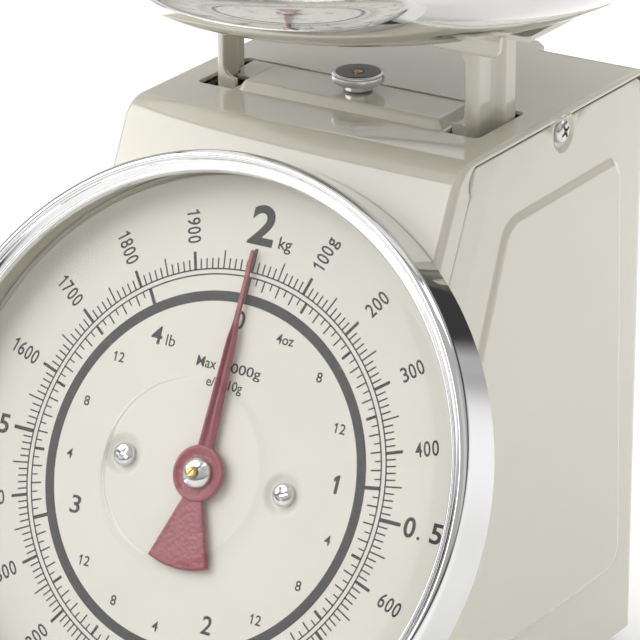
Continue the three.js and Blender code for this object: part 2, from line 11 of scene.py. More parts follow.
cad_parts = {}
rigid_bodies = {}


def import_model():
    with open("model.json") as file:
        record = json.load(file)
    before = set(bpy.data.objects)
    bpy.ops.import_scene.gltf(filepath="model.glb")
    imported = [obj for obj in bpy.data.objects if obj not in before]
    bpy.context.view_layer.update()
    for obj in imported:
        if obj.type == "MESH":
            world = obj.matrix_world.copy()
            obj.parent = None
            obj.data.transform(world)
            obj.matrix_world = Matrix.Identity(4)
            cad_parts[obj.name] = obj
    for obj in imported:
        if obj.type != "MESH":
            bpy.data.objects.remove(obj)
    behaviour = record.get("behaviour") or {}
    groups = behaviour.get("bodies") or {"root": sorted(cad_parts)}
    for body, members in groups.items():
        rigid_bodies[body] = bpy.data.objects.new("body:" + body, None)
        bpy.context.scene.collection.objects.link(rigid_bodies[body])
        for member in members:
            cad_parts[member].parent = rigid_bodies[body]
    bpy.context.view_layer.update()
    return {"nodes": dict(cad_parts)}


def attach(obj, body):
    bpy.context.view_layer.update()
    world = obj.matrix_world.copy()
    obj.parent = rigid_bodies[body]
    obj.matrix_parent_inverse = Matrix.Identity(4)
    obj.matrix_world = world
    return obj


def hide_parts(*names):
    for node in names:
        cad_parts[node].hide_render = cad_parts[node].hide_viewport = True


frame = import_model()

MM = 0.001
R = 56.0
YC = 71.7025
ZD = 96.0
T = math.radians(26.0)
ST, CT = math.sin(T), math.cos(T)
Z_TOP = ZD + 1.51 * R
Z_LOW = 7.2
Y_BACK = 148.4
AXIS_Y = 1.46 * R             # bowl, springs, load frame
KNOB_Y = 78.8                 # zero knob and its screw
FACE = 2.8
HW = 54.0                     # folded front and top sheet
HWC = 54.3                    # side cover
RF = 10.5                     # bend between the front and the top
DEP_F, DEP_T = 7.6, 1.7       # side returns of the front and of the top


def W(x, y, z):
    """Row frame from X, Y behind the dial centre, Z above the table, all in mm."""
    return Vector((x * MM, (y - YC) * MM, z * MM))


def D(x, y, h):
    """Row frame from dial-face coordinates in mm: x right, y up the face, h out of it."""
    return Vector((x * MM, (y * ST - h * CT - YC) * MM, (ZD + y * CT + h * ST) * MM))


# ------------------------------------------------------------------ materials
def new_mat(name, base, rough, metal=0.0, **sock):
    m = bpy.data.materials.new(name)
    m.use_nodes = True
    nt = m.node_tree
    b = nt.nodes["Principled BSDF"]
    b.inputs["Base Color"].default_value = (*base, 1)
    b.inputs["Roughness"].default_value = rough
    b.inputs["Metallic"].default_value = metal
    for k, v in sock.items():
        b.inputs[k.replace("_", " ")].default_value = v
    return m, nt, b


def coords(nt):
    n = nt.nodes.new("ShaderNodeTexCoord")
    return n.outputs["Object"]


def noise(nt, scale, detail=3.0, rough=0.55, vec=None):
    n = nt.nodes.new("ShaderNodeTexNoise")
    n.inputs["Scale"].default_value = scale
    n.inputs["Detail"].default_value = detail
    n.inputs["Roughness"].default_value = rough
    nt.links.new(vec if vec is not None else coords(nt), n.inputs["Vector"])
    return n.outputs["Fac"]


def ramp(nt, fac, stops):
    r = nt.nodes.new("ShaderNodeValToRGB")
    e = r.color_ramp.elements
    while len(e) < len(stops):
        e.new(0.5)
    for el, (p, c) in zip(e, stops):
        el.position = p
        el.color = (*c, 1) if len(c) == 3 else c
    nt.links.new(fac, r.inputs["Fac"])
    return r.outputs["Color"]


def bump(nt, b, height, strength, dist):
    n = nt.nodes.new("ShaderNodeBump")
    n.inputs["Strength"].default_value = strength
    n.inputs["Distance"].default_value = dist
    nt.links.new(height, n.inputs["Height"])
    nt.links.new(n.outputs["Normal"], b.inputs["Normal"])
    return n


def tone(c, f):
    return tuple(min(1.0, v * f) for v in c)


def enamel(name, base, rough=0.2, spread=0.02):
    m, nt, b = new_mat(name, base, rough, Coat_Weight=1.0, Coat_Roughness=0.015, Coat_IOR=1.6)
    nt.links.new(ramp(nt, noise(nt, 26.0, 4.0), [(0.3, tone(base, 1 - spread)), (0.7, tone(base, 1 + spread * 0.5))]), b.inputs["Base Color"])
    r = nt.nodes.new("ShaderNodeMapRange")
    r.inputs["To Min"].default_value = rough * 0.8
    r.inputs["To Max"].default_value = rough * 1.25
    nt.links.new(noise(nt, 60.0, 2.0), r.inputs["Value"])
    nt.links.new(r.outputs["Result"], b.inputs["Roughness"])
    bump(nt, b, noise(nt, 260.0, 2.0, 0.4), 0.02, 0.0004)
    return m


CREAM = (0.68, 0.655, 0.545)
M_cream = enamel("cream_enamel", CREAM)
M_cream_in = enamel("cream_enamel_inside", tone(CREAM, 0.9), 0.4)
m, nt, b = new_mat("dial_face_paint", (0.74, 0.72, 0.635), 0.42)
nt.links.new(ramp(nt, noise(nt, 40.0, 5.0), [(0.3, (0.725, 0.705, 0.62)), (0.7, (0.755, 0.735, 0.655))]), b.inputs["Base Color"])
bump(nt, b, noise(nt, 900.0, 2.0), 0.03, 0.0002)
M_dial = m
m, nt, b = new_mat("print_ink", (0.035, 0.035, 0.035), 0.5)
nt.links.new(ramp(nt, noise(nt, 1500.0, 3.0, 0.7), [(0.0, (0.012, 0.012, 0.012)), (0.6, (0.02, 0.02, 0.02)), (0.72, (0.03, 0.03, 0.03))]), b.inputs["Base Color"])
M_ink = m
m, nt, b = new_mat("print_band_ink", (0.035, 0.035, 0.035), 0.5)
nt.links.new(ramp(nt, noise(nt, 1000.0, 4.0, 0.75), [(0.0, (0.018, 0.018, 0.018)), (0.64, (0.025, 0.025, 0.025)), (0.665, (0.3, 0.295, 0.27)), (0.72, (0.62, 0.61, 0.55))]), b.inputs["Base Color"])
M_band = m


def metal(name, base, rough, spread=0.25, bscale=0.0, bstr=0.02):
    m, nt, b = new_mat(name, base, rough, 1.0)
    r = nt.nodes.new("ShaderNodeMapRange")
    r.inputs["To Min"].default_value = rough * (1 - spread)
    r.inputs["To Max"].default_value = rough * (1 + spread)
    nt.links.new(noise(nt, 90.0, 4.0), r.inputs["Value"])
    nt.links.new(r.outputs["Result"], b.inputs["Roughness"])
    nt.links.new(ramp(nt, noise(nt, 35.0, 3.0), [(0.3, tone(base, 0.96)), (0.7, tone(base, 1.02))]), b.inputs["Base Color"])
    if bscale:
        bump(nt, b, noise(nt, bscale, 3.0), bstr, 0.0003)
    return m


M_chrome = metal("bezel_chrome", (0.80, 0.80, 0.80), 0.045)
M_bowl = metal("polished_bowl_steel", (0.80, 0.795, 0.785), 0.05, 0.3)
M_zinc = metal("zinc_plated_steel", (0.60, 0.60, 0.59), 0.34, 0.3, 300.0, 0.05)
M_screw = metal("bright_screw_steel", (0.72, 0.72, 0.71), 0.2, 0.3, 600.0, 0.04)
M_steel = metal("turned_steel", (0.62, 0.62, 0.62), 0.25, 0.3)
# polished steel knob top: its near-black base colour is a painted dark reflection, not a colour of the steel
M_knob_top_painted_dark = metal("knob_top_painted_dark_reflection", (0.07, 0.069, 0.066), 0.07, 0.3)
M_knob = metal("knob_bright_steel", (0.78, 0.78, 0.77), 0.16, 0.3)
M_brass = metal("brass", (0.62, 0.44, 0.17), 0.22, 0.3, 500.0, 0.04)
M_spring = metal("spring_wire", (0.45, 0.45, 0.46), 0.3, 0.3)
m, nt, b = new_mat("red_wrinkle_paint", (0.34, 0.045, 0.06), 0.38, Coat_Weight=0.4, Coat_Roughness=0.18)
vor = nt.nodes.new("ShaderNodeTexVoronoi")
vor.feature = "SMOOTH_F1"
vor.inputs["Scale"].default_value = 900.0
nt.links.new(coords(nt), vor.inputs["Vector"])
nt.links.new(ramp(nt, vor.outputs["Distance"], [(0.05, (0.39, 0.07, 0.09)), (0.6, (0.26, 0.032, 0.045))]), b.inputs["Base Color"])
bump(nt, b, vor.outputs["Distance"], 0.8, 0.0004)
M_red = m
m, nt, b = new_mat("black_rubber", (0.03, 0.03, 0.03), 0.75)
nt.links.new(ramp(nt, noise(nt, 120.0, 4.0), [(0.3, (0.025, 0.025, 0.025)), (0.7, (0.05, 0.05, 0.05))]), b.inputs["Base Color"])
bump(nt, b, noise(nt, 700.0, 3.0), 0.2, 0.0003)
M_rubber = m
# clear window: see-through face on, mirror-like at the rim of the curve
m, nt, b = new_mat("clear_window", (0.96, 0.97, 0.96), 0.03, 1.0)
fr = nt.nodes.new("ShaderNodeFresnel")
fr.inputs["IOR"].default_value = 1.30
mr = nt.nodes.new("ShaderNodeMapRange")
mr.inputs["From Min"].default_value = 0.0
mr.inputs["From Max"].default_value = 1.0
mr.inputs["To Min"].default_value = 0.004
mr.inputs["To Max"].default_value = 0.3
nt.links.new(fr.outputs["Fac"], mr.inputs["Value"])
nt.links.new(mr.outputs["Result"], b.inputs["Alpha"])
M_lens = m


# ------------------------------------------------------------------ mesh helpers
def obj_from(name, verts, faces, mat, body, replaces=(), sharp=32, wn=True):
    me = bpy.data.meshes.new(name)
    me.from_pydata([tuple(v) for v in verts], [], faces)
    me.validate()
    bm = bmesh.new()
    bm.from_mesh(me)
    bmesh.ops.remove_doubles(bm, verts=bm.verts, dist=1e-7)
    bmesh.ops.recalc_face_normals(bm, faces=bm.faces)
    bm.to_mesh(me)
    bm.free()
    me.shade_smooth()
    me.set_sharp_from_angle(angle=math.radians(sharp))
    ob = bpy.data.objects.new(name, me)
    bpy.context.scene.collection.objects.link(ob)
    me.materials.append(mat)
    if wn:
        w = ob.modifiers.new("weighted_normals", "WEIGHTED_NORMAL")
        w.keep_sharp = True
    if body:
        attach(ob, body)
    if replaces:
        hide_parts(*replaces)
    return ob


def ring_faces(n, i, j, closed=True):
    out = []
    for k in range(n if closed else n - 1):
        k2 = (k + 1) % n
        out.append((i * n + k, i * n + k2, j * n + k2, j * n + k))
    return out


def lathe(profile, seg, place, cx=0.0, cy=0.0, closed=False):
    """profile of (r, h) from one end to the other; place maps (x, y, h)."""
    verts, faces, rows = [], [], []
    for r, h in profile:
        if r < 1e-6:
            rows.append(("p", len(verts)))
            verts.append(place(cx, cy, h))
        else:
            rows.append(("r", len(verts)))
            for k in range(seg):
                a = 2 * math.pi * k / seg
                verts.append(place(cx + r * math.sin(a), cy + r * math.cos(a), h))
    pairs = list(zip(rows[:-1], rows[1:]))
    if closed:
        pairs.append((rows[-1], rows[0]))
    for (ta, a), (tb, b_) in pairs:
        for k in range(seg):
            k2 = (k + 1) % seg
            if ta == "r" and tb == "r":
                faces.append((a + k, a + k2, b_ + k2, b_ + k))
            elif ta == "p" and tb == "r":
                faces.append((a, b_ + k2, b_ + k))
            elif ta == "r" and tb == "p":
                faces.append((a + k, a + k2, b_))
    return verts, faces


def smooth_profile(pts, n=4):
    """Catmull-Rom through the points, ends kept."""
    P = [np.array(p, float) for p in pts]
    P = [2 * P[0] - P[1]] + P + [2 * P[-1] - P[-2]]
    out = []
    for i in range(1, len(P) - 2):
        for k in range(n):
            t = k / n
            a, b_, c, d = P[i - 1], P[i], P[i + 1], P[i + 2]
            out.append(tuple(0.5 * (2 * b_ + (c - a) * t + (2 * a - 5 * b_ + 4 * c - d) * t * t + (3 * b_ - a - 3 * c + d) * t ** 3)))
    out.append(tuple(P[-2]))
    return out


def arc(cx, cy, r, a0, a1, n):
    return [(cx + r * math.cos(math.radians(a0 + (a1 - a0) * i / n)), cy + r * math.sin(math.radians(a0 + (a1 - a0) * i / n))) for i in range(n + 1)]


def round_rect(x0, x1, y0, y1, r, n=5):
    return arc(x1 - r, y0 + r, r, -90, 0, n) + arc(x1 - r, y1 - r, r, 0, 90, n) + arc(x0 + r, y1 - r, r, 90, 180, n) + arc(x0 + r, y0 + r, r, 180, 270, n)


def round_poly(pts, r, n=5):
    """Polygon with its corners rounded to radius r (one number, or one per corner)."""
    out, m_ = [], len(pts)
    for i in range(m_):
        p0, p, p1 = (np.array(pts[(i + k) % m_], float) for k in (-1, 0, 1))
        rr = r[i] if isinstance(r, (list, tuple)) else r
        a, b_ = p0 - p, p1 - p
        la, lb = np.linalg.norm(a), np.linalg.norm(b_)
        a, b_ = a / la, b_ / lb
        ang = math.acos(max(-1, min(1, float(a @ b_))))
        d = min(rr / math.tan(ang / 2), la * 0.45, lb * 0.45)
        rad = d * math.tan(ang / 2)
        if rad < 1e-4:
            out.append(tuple(p))
            continue
        c = p + (a + b_) / np.linalg.norm(a + b_) * (rad / math.sin(ang / 2))
        s, e = p + a * d - c, p + b_ * d - c
        t0, t1 = math.atan2(s[1], s[0]), math.atan2(e[1], e[0])
        dt = (t1 - t0 + math.pi) % (2 * math.pi) - math.pi
        out += [(c[0] + rad * math.cos(t0 + dt * k / n), c[1] + rad * math.sin(t0 + dt * k / n)) for k in range(n + 1)]
    return out


def offset_poly(pts, d):
    """Simple inward offset (d > 0) of a counter-clockwise or clockwise polygon."""
    P = np.array(pts, float)
    area = 0.5 * np.sum(P[:, 0] * np.roll(P[:, 1], -1) - np.roll(P[:, 0], -1) * P[:, 1])
    s = 1 if area > 0 else -1
    out, m_ = [], len(P)
    for i in range(m_):
        e0 = P[i] - P[i - 1]
        e1 = P[(i + 1) % m_] - P[i]
        n0 = np.array([-e0[1], e0[0]]) * s / max(1e-9, np.linalg.norm(e0))
        n1 = np.array([-e1[1], e1[0]]) * s / max(1e-9, np.linalg.norm(e1))
        n_ = n0 + n1
        n_ = n_ / max(1e-6, np.linalg.norm(n_))
        k = d / max(0.35, float(n_ @ n0))
        out.append(tuple(P[i] + n_ * k))
    return out


def inside(poly, x, y):
    c = False
    n_ = len(poly)
    for i in range(n_):
        x0, y0 = poly[i]
        x1, y1 = poly[i - 1]
        if (y0 > y) != (y1 > y) and x < (x1 - x0) * (y - y0) / (y1 - y0) + x0:
            c = not c
    return c


def cdt(outer, rings, holes, extra=()):
    """Triangles of outer with the rings as edges and the holes left open. Returns points and triangles."""
    pts, edges = [], []
    for loop in [outer] + list(rings) + list(holes):
        s = len(pts)
        pts += [Vector((p[0], p[1])) for p in loop]
        edges += [(s + i, s + (i + 1) % len(loop)) for i in range(len(loop))]
    for p in extra:
        pts.append(Vector((p[0], p[1])))
    v, e, f, *_ = delaunay_2d_cdt(pts, edges, [], 0, 1e-5)
    tri = []
    for t in f:
        cx = sum(v[i][0] for i in t) / len(t)
        cy = sum(v[i][1] for i in t) / len(t)
        if inside(outer, cx, cy) and not any(inside(h, cx, cy) for h in holes):
            tri.append(tuple(t))
    return [(p[0], p[1]) for p in v], tri


def solidify(ob, t, offset=-1.0):
    s = ob.modifiers.new("sheet", "SOLIDIFY")
    s.thickness = t * MM
    s.offset = offset
    s.use_even_offset = True
    s.use_quality_normals = True
    # thickness comes before the weighted normals
    while ob.modifiers.find("sheet") > 0:
        ob.modifiers.move(ob.modifiers.find("sheet"), 0)
    return s


def bevel(ob, w, seg=3, angle=35):
    s = ob.modifiers.new("edge_round", "BEVEL")
    s.width = w * MM
    s.segments = seg
    s.limit_method = "ANGLE"
    s.angle_limit = math.radians(angle)
    s.harden_normals = False
    while ob.modifiers.find("edge_round") > 0 and ob.modifiers[ob.modifiers.find("edge_round") - 1].type == "WEIGHTED_NORMAL":
        ob.modifiers.move(ob.modifiers.find("edge_round"), ob.modifiers.find("edge_round") - 1)
    return s


def cut(ob, verts, faces):
    """Boolean difference, applied to the mesh at once."""
    me = bpy.data.meshes.new("cutter")
    me.from_pydata([tuple(v) for v in verts], [], faces)
    bm = bmesh.new()
    bm.from_mesh(me)
    bmesh.ops.remove_doubles(bm, verts=bm.verts, dist=1e-7)
    bmesh.ops.recalc_face_normals(bm, faces=bm.faces)
    bm.to_mesh(me)
    bm.free()
    c = bpy.data.objects.new("cutter", me)
    bpy.context.scene.collection.objects.link(c)
    keep = [(m_.name, m_.type) for m_ in ob.modifiers]
    for m_ in list(ob.modifiers):
        ob.modifiers.remove(m_)
    b_ = ob.modifiers.new("cut", "BOOLEAN")
    b_.operation = "DIFFERENCE"
    b_.solver = "EXACT"
    b_.object = c
    par, inv, wm = ob.parent, ob.matrix_parent_inverse.copy(), ob.matrix_world.copy()
    bpy.context.view_layer.update()
    dg = bpy.context.evaluated_depsgraph_get()
    new = bpy.data.meshes.new_from_object(ob.evaluated_get(dg))
    ob.modifiers.remove(b_)
    old = ob.data
    ob.data = new
    new.shade_smooth()
    new.set_sharp_from_angle(angle=math.radians(32))
    bpy.data.objects.remove(c)
    bpy.data.meshes.remove(me)
    bpy.data.meshes.remove(old)
    for nme, ty in keep:
        m_ = ob.modifiers.new(nme, ty)
        if ty == "WEIGHTED_NORMAL":
            m_.keep_sharp = True


def prism(poly, place, h0, h1):
    n_ = len(poly)
    verts = [place(x, y, h0) for x, y in poly] + [place(x, y, h1) for x, y in poly]
    faces = [tuple(range(n_))[::-1], tuple(range(n_, 2 * n_))] + [(i, (i + 1) % n_, n_ + (i + 1) % n_, n_ + i) for i in range(n_)]
    return verts, faces


def merge(*parts):
    V, F = [], []
    for v, f in parts:
        o = len(V)
        V += list(v)
        F += [tuple(i + o for i in t) for t in f]
    return V, F


def place_z(x, y, h):
    return W(x, y, h)


# ------------------------------------------------------------------ front and top sheet
def front_y(z, d):
    """Y of the plane d behind the printed dial surface, at height z."""
    return (z - ZD) * math.tan(T) + d / CT


def shell_path(rf=RF, rb=7.0):
    """(y, z, normal y, normal z, blend) along the outside of the folded sheet; blend is 0 on the front, 1 on the top."""
    out = []
    yf = front_y(Z_TOP, FACE)
    t = rf * math.tan((math.pi / 2 - T) / 2)
    cy, cz = yf + t, Z_TOP - rf
    ny, nz = -CT, ST
    y1, z1 = cy + rf * ny, cz + rf * nz
    y0 = front_y(Z_LOW, FACE)
    for k in range(0, 15):
        f = k / 14
        out.append((y0 + (y1 - y0) * f, Z_LOW + (z1 - Z_LOW) * f, ny, nz, 0.0))
    a0, a1 = math.atan2(nz, ny), math.pi / 2
    for k in range(1, 15):
        a = a0 + (a1 - a0) * k / 14
        out.append((cy + rf * math.cos(a), cz + rf * math.sin(a), math.cos(a), math.sin(a), k / 14))
    yb = Y_BACK - rb
    for k in range(1, 13):
        f = k / 12
        out.append((cy + (yb - cy) * f, Z_TOP, 0.0, 1.0, 1.0))
    for k in range(1, 9):
        a = math.pi / 2 * (1 - k / 8)
        out.append((yb + rb * math.cos(a), Z_TOP - rb + rb * math.sin(a), math.cos(a), math.sin(a), 1.0))
    out.append((Y_BACK, Z_TOP - 8.6, 1.0, 0.0, 1.0))
    return out


def build_shell():
    path = shell_path()
    verts, faces = [], []
    nx = None
    for y, z, ny, nz, bl in path:
        er = 2.2 * (1 - bl) + 1.25 * bl
        dep = DEP_F * (1 - bl) + DEP_T * bl
        th = 1.1
        sec = [(HW, dep)] + [(HW - er + er * math.cos(a), er - er * math.sin(a)) for a in np.linspace(0, math.pi / 2, 7)]
        sec += [(x, 0.0) for x in (40, 26, 13, 0, -13, -26, -40)]
        sec += [(-HW + er - er * math.cos(a), er - er * math.sin(a)) for a in np.linspace(math.pi / 2, 0, 7)] + [(-HW, dep)]
        ins = [(-HW + th, dep), (-HW + th, th + 0.35), (-HW + th + 0.35, th), (HW - th - 0.35, th), (HW - th, th + 0.35), (HW - th, dep)]
        sec = sec + ins
        if nx is None:
            nx = len(sec)
        for x, d in sec:
            verts.append(W(x, y - ny * d, z - nz * d))
    for i in range(len(path) - 1):
        faces += ring_faces(nx, i, i + 1)
    faces.append(tuple(range(nx)))
    faces.append(tuple((len(path) - 1) * nx + k for k in range(nx))[::-1])
    ob = obj_from("front_and_top_sheet", verts, faces, M_cream, "housing", ["front_shell"])
    v, f = prism(round_rect(-45.6, 45.6, 66.5, 92.5, 2.0, 6), place_z, Z_TOP - 12, Z_TOP + 6)
    cut(ob, v, f)
    return ob


shell = build_shell()
# tongue at the back of the top
v, f = prism(round_poly([(-21, Y_BACK - 7.2), (21, Y_BACK - 7.2), (21, Y_BACK - 2.4), (16.8, Y_BACK + 1.4), (-16.8, Y_BACK + 1.4), (-21, Y_BACK - 2.4)], [0.1, 0.1, 1, 1.6, 1.6, 1], 4), place_z, Z_TOP - 1.2, Z_TOP)
tongue = obj_from("top_rear_tongue", v, f, M_cream, "housing", ())
bevel(tongue, 0.35, 2)


# ------------------------------------------------------------------ U-shaped cover: sides and back
SIDE_Y, SIDE_Z = 98.5, ZD + 1.405 * R
SCREW_Y, SCREW_Z = 95.2, ZD + 1.428 * R
PANEL = [(1.165 * R, ZD + 1.085 * R), (1.27 * R, ZD + 1.13 * R), (2.26 * R, ZD + 1.136 * R), (2.345 * R, ZD + 1.05 * R), (2.43 * R, ZD - 1.08 * R), (2.33 * R, ZD - 1.18 * R), (0.36 * R, ZD - 1.18 * R), (0.285 * R, ZD - 1.10 * R)]
RC = 6.0                       # vertical back corners
S_SIDE = Y_BACK - RC           # side runs along Y to here
S_BACK = S_SIDE + RC * math.pi / 2


def cover_map(s, z, h):
    """Unrolled half: s along Y on the side, round the corner, then along the back to the middle. h stands out of the sheet."""
    if s <= S_SIDE:
        return (HWC + h, s, z)
    if s <= S_BACK:
        a = (s - S_SIDE) / RC
        return (HWC - RC + (RC + h) * math.cos(a), S_SIDE + (RC + h) * math.sin(a), z)
    return (HWC - RC - (s - S_BACK), Y_BACK + h, z)


def build_cover():
    s_mid = S_BACK + HWC - RC
    zt = Z_TOP - DEP_T - 0.45
    zb = Z_TOP - 8.6 - 0.45
    d_seam = FACE + DEP_F + 0.45
    # front edge follows the seam, with the fold
    cy = front_y(Z_TOP, FACE) + RF * math.tan((math.pi / 2 - T) / 2)
    cz = Z_TOP - RF
    a0 = math.atan2(ST, -CT)
    fold = []
    for k in range(11):
        a, q = a0 + (math.pi / 2 - a0) * k / 10, RF - (DEP_F * (1 - k / 10) + DEP_T * k / 10) - 0.45
        fold.append((cy + q * math.cos(a), cz + q * math.sin(a)))
    zs = list(np.linspace(Z_LOW, fold[0][1], 16)[:-1])
    front = [(front_y(z, d_seam), z) for z in zs]
    top = [(y, zt) for y in np.linspace(cy, Y_BACK - 8.2, 12)[1:]]
    # behind the top's back bend the cover's edge steps down
    step = [(Y_BACK - 6.9, zt - 0.9), (Y_BACK - 6.2 + 0.4, zb)]
    corner = [(S_SIDE + RC * a, zb) for a in np.linspace(0.05, math.pi / 2, 9)]
    outer = front + fold + top + step + corner + [(s_mid, zb), (s_mid, Z_LOW)] + [(S_SIDE + RC * a, Z_LOW) for a in np.linspace(math.pi / 2, 0, 9)]
    pan0 = round_poly(PANEL, [6, 6, 6, 6, 7, 7, 6, 6], 6)
    rings = [pan0] + [offset_poly(pan0, d) for d in (0.5, 1.3, 2.1, 2.6, 3.0)]
    ph = {0: 0.0, 1: 0.12, 2: 0.68, 3: 1.24, 4: 1.34, 5: 1.36}
    circ = lambda rr, n_=36: [(SIDE_Y + rr * math.cos(2 * math.pi * k / n_), SIDE_Z + rr * math.sin(2 * math.pi * k / n_)) for k in range(n_)]
    dim = [circ(rr) for rr in (6.2, 5.6, 4.8, 4.0)]
    dh = {0: 0.0, 1: -0.16, 2: -0.75, 3: -1.05}
    hole = circ(1.9, 20)
    pts, edges, hgt = [], [], []

    def loop(l, hh, closed=True):
        s = len(pts)
        for p in l:
            pts.append(Vector((p[0], p[1])))
            hgt.append(hh)
        m_ = len(l)
        edges.extend((s + i, s + (i + 1) % m_) for i in range(m_ if closed else m_ - 1))

    loop(outer, 0.0)
    for i, l in enumerate(rings):
        loop(l, ph[i])
    for i, l in enumerate(dim):
        loop(l, dh[i])
    loop(hole, -1.05)
    for sx in np.linspace(S_SIDE, S_BACK, 9):
        loop([(sx, Z_LOW), (sx, zb)], 0.0, False)
    for d in (1.2, 9.5, 10.6):
        loop([(front_y(z, d_seam + d), z) for z in np.linspace(Z_LOW, Z_TOP - 11, 15)], 0.0, False)
    v, e, tri, orig, *_ = delaunay_2d_cdt(pts, edges, [], 0, 1e-4)
    keep = []
    for t_ in tri:
        cx = sum(v[i][0] for i in t_) / len(t_)
        cz_ = sum(v[i][1] for i in t_) / len(t_)
        if inside(outer, cx, cz_) and not inside(hole, cx, cz_):
            keep.append(tuple(t_))

    def height(i):
        x, z = v[i]
        if orig[i]:
            h = max((hgt[k] for k in orig[i]), key=abs)
            if h:
                return h
        if inside(rings[-1], x, z):
            return ph[5]
        # distance behind the seam
        d = (x - front_y(z, d_seam)) * CT
        if x < S_SIDE and z < Z_TOP - 10 and d < 10.6:
            if d < 0.6:
                return -0.75
            return -0.55 * (1 - min(1.0, max(0.0, (d - 1.2) / 8.3)) ** 1.0)
        return 0.0

    used = sorted({i for t_ in keep for i in t_})
    idx = {o: k for k, o in enumerate(used)}
    hs = {i: height(i) for i in used}
    half = [cover_map(v[i][0], v[i][1], hs[i]) for i in used]
    tr = [tuple(idx[i] for i in t_) for t_ in keep]
    verts = [W(*p) for p in half] + [W(-p[0], p[1], p[2]) for p in half]
    n_ = len(half)
    faces = tr + [tuple(i + n_ for i in t_)[::-1] for t_ in tr]
    ob = obj_from("side_and_rear_cover", verts, faces, M_cream, "housing", ["rear_cover"], sharp=40)
    # outward normals before the sheet gets its thickness
    me = ob.data
    c = W(0, 75, 90)
    bad = sum(1 for p in me.polygons if p.normal.dot(p.center - c) < 0)
    if bad > len(me.polygons) / 2:
        me.flip_normals()
    solidify(ob, 1.1)
    return ob


cover = build_cover()


def cross_slot(place, cx, cy, depth, top, L, w):
    a = prism([(cx - L, cy - w), (cx + L, cy - w), (cx + L, cy + w), (cx - L, cy + w)], place, top - depth, top + 2)
    b_ = prism([(cx - w, cy - L), (cx + w, cy - L), (cx + w, cy + L), (cx - w, cy + L)], place, top - depth, top + 2)
    return a, b_


def pan_screw(name, place, cx, cy, h0, body, node, r=3.25, tall=1.7, rot=0.0):
    prof = [(0, h0 - 4.0), (1.5, h0 - 4.0), (1.5, h0 - 0.1), (r * 0.97, h0 - 0.1), (r, h0 + 0.15), (r * 0.99, h0 + tall * 0.35), (r * 0.93, h0 + tall * 0.62), (r * 0.80, h0 + tall * 0.83), (r * 0.55, h0 + tall * 0.96), (r * 0.25, h0 + tall), (0, h0 + tall)]
    v, f = lathe(prof, 48, place, cx, cy)
    ob = obj_from(name, v, f, M_screw, body, [node], sharp=45)
    c, s = math.cos(rot), math.sin(rot)
    rp = lambda x, y, h: place(cx + (x - cx) * c - (y - cy) * s, cy + (x - cx) * s + (y - cy) * c, h)
    L, w, dp = r * 0.62, r * 0.135, tall * 0.75
    for a in cross_slot(rp, cx, cy, dp, h0 + tall, L, w):
        cut(ob, *a)
    v, f = lathe([(0, h0 + tall - dp * 1.05), (r * 0.12, h0 + tall - dp * 1.0), (r * 0.34, h0 + tall + 0.3), (0, h0 + tall + 0.3)], 12, rp, cx, cy)
    cut(ob, v, f)
    return ob


for side, s in (("left", -1), ("right", 1)):
    place = lambda x, y, h, s=s: W(s * h, x, y)
    pan_screw(f"side_screw_head_{side}", place, SIDE_Y - 0.6, SIDE_Z + 0.5, HWC - 0.9, "housing", f"side_screw_{side}", 3.35, 1.8, 0.5)

# ------------------------------------------------------------------ dial: pan, face, print, screws
v, f = lathe([(6.2, -2.5), (84.7, -2.5), (84.9, -2.3), (84.9, 7.6), (84.5, 7.8), (83.9, 7.6), (83.9, -1.4), (83.5, -1.0), (82.6, -1.4), (6.2, -1.7)], 160, D, closed=True)
pan = obj_from("dial_pan_sheet", v, f, M_cream, "housing", ["dial_pan"])


def build_dial():
    N = 180
    circ = lambda cx, rr, n_: [(cx + rr * math.cos(2 * math.pi * k / n_), rr * math.sin(2 * math.pi * k / n_)) for k in range(n_)]
    rings, hh = [], []
    for r_, h in ((81.4, 0.0), (70, 0.0)):
        rings.append(circ(0, r_, N)); hh.append(h)
    for cx in (-0.46 * R, 0.46 * R):
        for r_, h in ((6.5, 0.0), (6.1, -0.03), (5.6, -0.2), (5.0, -0.6), (4.5, -0.92), (4.0, -1.05), (3.0, -1.08)):
            rings.append(circ(cx, r_, 48)); hh.append(h)
    outer = circ(0, 82.0, N)
    hole = circ(0, 2.4, 24)
    pts, edges, hg = [], [], []
    for l, h in [(outer, -0.3)] + list(zip(rings, hh)) + [(hole, 0.0)]:
        s = len(pts)
        pts += [Vector(p) for p in l]
        hg += [h] * len(l)
        edges += [(s + i, s + (i + 1) % len(l)) for i in range(len(l))]
    v, e, tri, orig, *_ = delaunay_2d_cdt(pts, edges, [], 0, 1e-5)
    keep = [tuple(t_) for t_ in tri if not inside(hole, sum(v[i][0] for i in t_) / 3, sum(v[i][1] for i in t_) / 3)]
    H = [min((hg[k] for k in o), default=0.0) if o else 0.0 for o in orig]
    verts = [D(p[0], p[1], H[i]) for i, p in enumerate(v)]
    ob = obj_from("dial_face", verts, keep, M_dial, "housing", ["dial_plate"], sharp=50)
    nrm = Vector((0, -CT, ST))
    if sum(p.normal.dot(nrm) for p in ob.data.polygons) < 0:
        ob.data.flip_normals()
    solidify(ob, 0.75)
    return ob


build_dial()


def annulus(r0, r1, h0, h1, n=256):
    return lathe([(r0, h0), (r1, h0), (r1, h1), (r0, h1)], n, D, closed=True)


def bar(ang, r0, r1, w, h0=-0.05, h1=0.05):
    """Radial tick at ang degrees clockwise from the top; r in dial units, w in mm."""
    a = math.radians(ang)
    dx, dy = math.sin(a), math.cos(a)
    px, py = dy * w / 2, -dx * w / 2
    q = [(dx * r0 * R - px, dy * r0 * R - py), (dx * r0 * R + px, dy * r0 * R + py), (dx * r1 * R + px, dy * r1 * R + py), (dx * r1 * R - px, dy * r1 * R - py)]
    return prism(q, D, h0, h1)


